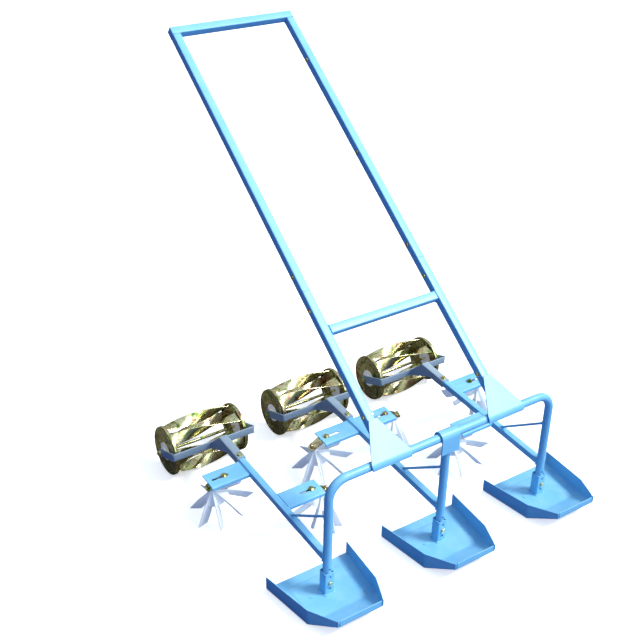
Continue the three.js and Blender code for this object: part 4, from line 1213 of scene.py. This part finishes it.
def star_pin(name):
    spindle, _, _ = star_frames(name)
    bm = bmesh.new()
    leg = HOLDER_SHEET / 2 + 0.2 * MM
    washer(bm, spindle @ Matrix.Translation((0, 0, leg)), 6.2 * MM, 2.4 * MM, 0.8 * MM)
    domed_nut(bm, spindle @ Matrix.Translation((0, 0, leg + 0.8 * MM)), 9 * MM, 7.6 * MM)
    seat = HUB_FOOT - 0.8 * MM
    rod(bm, spindle, 2.4 * MM, seat, leg)
    button_head(bm, spindle @ Matrix.Translation((0, 0, seat)) @ UPSIDE_DOWN, 4.6 * MM, 2.9 * MM)
    finished(f"{name}_domed_pin", bm, ZINC, f"{name}_star_slide", [f"{name}_star_pin"])


STAR_RADIUS = 68 * MM
STAR_TIP_DEPTH = 69 * MM
STAR_BLADES = 8
STAR_PHASE = 12
STAR_BLADE_ROOT = 14 * MM
STAR_BLADE_TIP = 24 * MM
STAR_TIP_SLANT = 6 * MM
HUB_TOP = -2.5 * MM
HUB_FOOT = -28.5 * MM


def star_blade(bm, index):
    """A moulded paddle in a plane through the axis. It widens, thins and bows toward its slanted tip."""
    around = math.radians(STAR_PHASE + 360 * index / STAR_BLADES)
    out = Vector((math.cos(around), math.sin(around), 0))
    side = Vector((-math.sin(around), math.cos(around), 0))
    axis = Vector((0, 0, 1))
    apex = axis * ((HUB_TOP + HUB_FOOT) / 2)
    run = (out * STAR_RADIUS - axis * STAR_TIP_DEPTH - apex)
    length = run.length
    run.normalize()
    across = side.cross(run) * -1
    rings = []
    steps = 20
    for i in range(steps + 1):
        share = i / steps
        width = STAR_BLADE_ROOT + (STAR_BLADE_TIP - STAR_BLADE_ROOT) * soft_step(share, 0.04, 0.60)
        thick = (3.6 - 0.8 * share) * MM
        if i == steps:
            width -= 1.2 * MM
            thick *= 0.7
        bow = 1.1 * MM * math.sin(math.pi * share) - 1.3 * MM * share * share
        centre = apex + run * (4.5 * MM + (length - 4.5 * MM) * share) + side * bow
        slant = 2 * STAR_TIP_SLANT * soft_step(share, 0.45, 1.0) / STAR_BLADE_TIP
        rings.append([centre + across * a + run * (a * slant) + side * b
                      for a, b in box_ring(width, thick, thick * 0.42, 3)])
    loft(bm, rings)


def star_web(bm):
    """A thin cone between the roots of the paddles."""
    apex = (HUB_TOP + HUB_FOOT) / 2
    section = [(0.08, 0.8), (0.42, 0.6), (0.43, 0), (0.42, -0.6), (0.08, -0.8)]
    lathe(bm, [(STAR_RADIUS * share, apex - (STAR_TIP_DEPTH + apex) * share + lift * MM)
               for share, lift in section], 48)


def star_wheel(name):
    spindle, _, _ = star_frames(name)
    bm = bmesh.new()
    hub = [(2.9 * MM, HUB_TOP), (7.2 * MM, HUB_TOP), (8.4 * MM, HUB_TOP - 1 * MM), (9 * MM, HUB_TOP - 3 * MM),
           (9 * MM, HUB_FOOT + 2 * MM), (8 * MM, HUB_FOOT), (2.9 * MM, HUB_FOOT)]
    lathe(bm, hub, 48)
    for index in range(STAR_BLADES):
        star_blade(bm, index)
    star_web(bm)
    replaced = [f"{name}_star_wheel"]
    finished(f"{name}_nylon_star", bm, STAR_NYLON, f"{name}_star", replaced, spindle, angle=40)


# ---- the whole machine ------------------------------------------------------------------------------------

def machine():
    front_pipe()
    middle_strut()
    handle()
    handle_welds()
    for row in ROWS:
        skid_pan(row)
        skid_socket(row)
        skid_bolt(row)
        arm(row)
        brace(row)
        frame_welds(row)
        yoke_channel(row)
        fork(row)
        yoke_bolt(row)
        rotor(row)
        rotor_axle(row)
    for name in STARS:
        star_bracket(name)
        star_holder(name)
        star_pin(name)
        star_wheel(name)
    for side in ("left", "right"):
        inner = frame["nodes"][f"{side}_splice_tube"]
        inner.data.materials.clear()
        inner.data.materials.append(ZINC)


# ---- stage ------------------------------------------------------------------------------------------------

def floor():
    bm = bmesh.new()
    bmesh.ops.create_grid(bm, x_segments=8, y_segments=8, size=14)
    mesh = bpy.data.meshes.new("studio_floor")
    bm.to_mesh(mesh)
    bm.free()
    sheet = bpy.data.objects.new("studio_floor", mesh)
    bpy.context.scene.collection.objects.link(sheet)
    material, tree, shader = new_material("floor_paper", Roughness=0.85)
    rays = node(tree, "ShaderNodeLightPath")
    bounce = mix_colour(tree, rays.outputs["Is Glossy Ray"], (0.04, 0.085, 0.27, 1), (0.13, 0.12, 0.09, 1))
    paper = mix_colour(tree, rays.outputs["Is Camera Ray"], bounce, (0.96, 0.96, 0.96, 1))
    tree.links.new(paper, shader.inputs["Base Color"])
    shader.inputs["Specular IOR Level"].default_value = 0.1
    shader.inputs["Emission Color"].default_value = (1, 1, 1, 1)
    glow = maths(tree, "MULTIPLY", rays.outputs["Is Camera Ray"], 0.55)
    tree.links.new(glow, shader.inputs["Emission Strength"])
    mesh.materials.append(material)


def sun(name, direction, strength, angle, colour):
    light = bpy.data.lights.new(name, "SUN")
    light.energy = strength
    light.angle = math.radians(angle)
    light.color = colour
    lamp = bpy.data.objects.new(name, light)
    lamp.rotation_euler = Vector(direction).to_track_quat("Z", "Y").to_euler()
    bpy.context.scene.collection.objects.link(lamp)


def studio():
    """A large soft key from the right, front and above, a front fill, and walls that are dim on the left."""
    sun("key", (0.50, -0.42, 0.80), 3.3, 18, (1.0, 0.985, 0.95))
    sun("front_fill", (0.10, -0.90, 0.40), 1.0, 40, (0.85, 0.94, 1.0))
    world = bpy.data.worlds.new("studio")
    world.use_nodes = True
    tree = world.node_tree
    tree.nodes.clear()
    place = node(tree, "ShaderNodeTexCoord")
    parts = node(tree, "ShaderNodeSeparateXYZ")
    tree.links.new(place.outputs["Generated"], parts.inputs[0])
    across = maths(tree, "MULTIPLY_ADD", parts.outputs["X"], 0.5, 0.5)
    walls = ramp(tree, across, [(0.15, (0.005, 0.030, 0.22, 1)), (0.42, (0.03, 0.09, 0.32, 1)),
                                (0.62, (0.30, 0.40, 0.55, 1)), (0.95, (0.70, 0.78, 0.85, 1))])
    overhead = ramp(tree, parts.outputs["Z"], [(0.55, 0.0), (0.80, 1.0)])
    cards = ramp(tree, across, [(0.15, (0.030, 0.027, 0.018, 1)), (0.42, (0.11, 0.105, 0.08, 1)),
                                (0.62, (0.42, 0.44, 0.40, 1)), (0.95, (0.82, 0.84, 0.80, 1))])
    rays = node(tree, "ShaderNodeLightPath")
    sides = mix_colour(tree, rays.outputs["Is Glossy Ray"], walls, cards)
    tone = mix_colour(tree, overhead, sides, (0.62, 0.72, 0.85, 1))
    sky = node(tree, "ShaderNodeBackground", Strength=1.0)
    tree.links.new(tone, sky.inputs["Color"])
    seen = node(tree, "ShaderNodeBackground", Strength=1.0)
    seen.inputs["Color"].default_value = (1, 1, 1, 1)
    blend = node(tree, "ShaderNodeMixShader")
    tree.links.new(rays.outputs["Is Camera Ray"], blend.inputs[0])
    tree.links.new(sky.outputs[0], blend.inputs[1])
    tree.links.new(seen.outputs[0], blend.inputs[2])
    out = node(tree, "ShaderNodeOutputWorld")
    tree.links.new(blend.outputs[0], out.inputs[0])
    bpy.context.scene.world = world


def camera():
    """A 59 mm lens, standing to the left of the machine and in front, looking down on it by 30 degrees."""
    azimuth, elevation, roll = math.radians(-34.31), math.radians(29.56), math.radians(1.00)
    back = Vector((math.sin(azimuth) * math.cos(elevation), -math.cos(azimuth) * math.cos(elevation),
                   math.sin(elevation)))
    right = Vector((math.cos(azimuth), math.sin(azimuth), 0))
    up = back.cross(right)
    rolled_right = right * math.cos(roll) + up * math.sin(roll)
    rolled_up = up * math.cos(roll) - right * math.sin(roll)
    lens = bpy.data.cameras.new("studio_camera")
    lens.lens = 59.0
    lens.sensor_width = 36.0
    lens.clip_end = 60.0
    eye = bpy.data.objects.new("studio_camera", lens)
    turn = Matrix((rolled_right, rolled_up, back)).transposed().to_4x4()
    eye.matrix_world = Matrix.Translation((-1236.63 * MM, -1330.71 * MM, 1575.08 * MM)) @ turn
    bpy.context.scene.collection.objects.link(eye)
    bpy.context.scene.camera = eye


camera()
floor()
studio()
machine()
bpy.context.scene.view_settings.view_transform = "Standard"
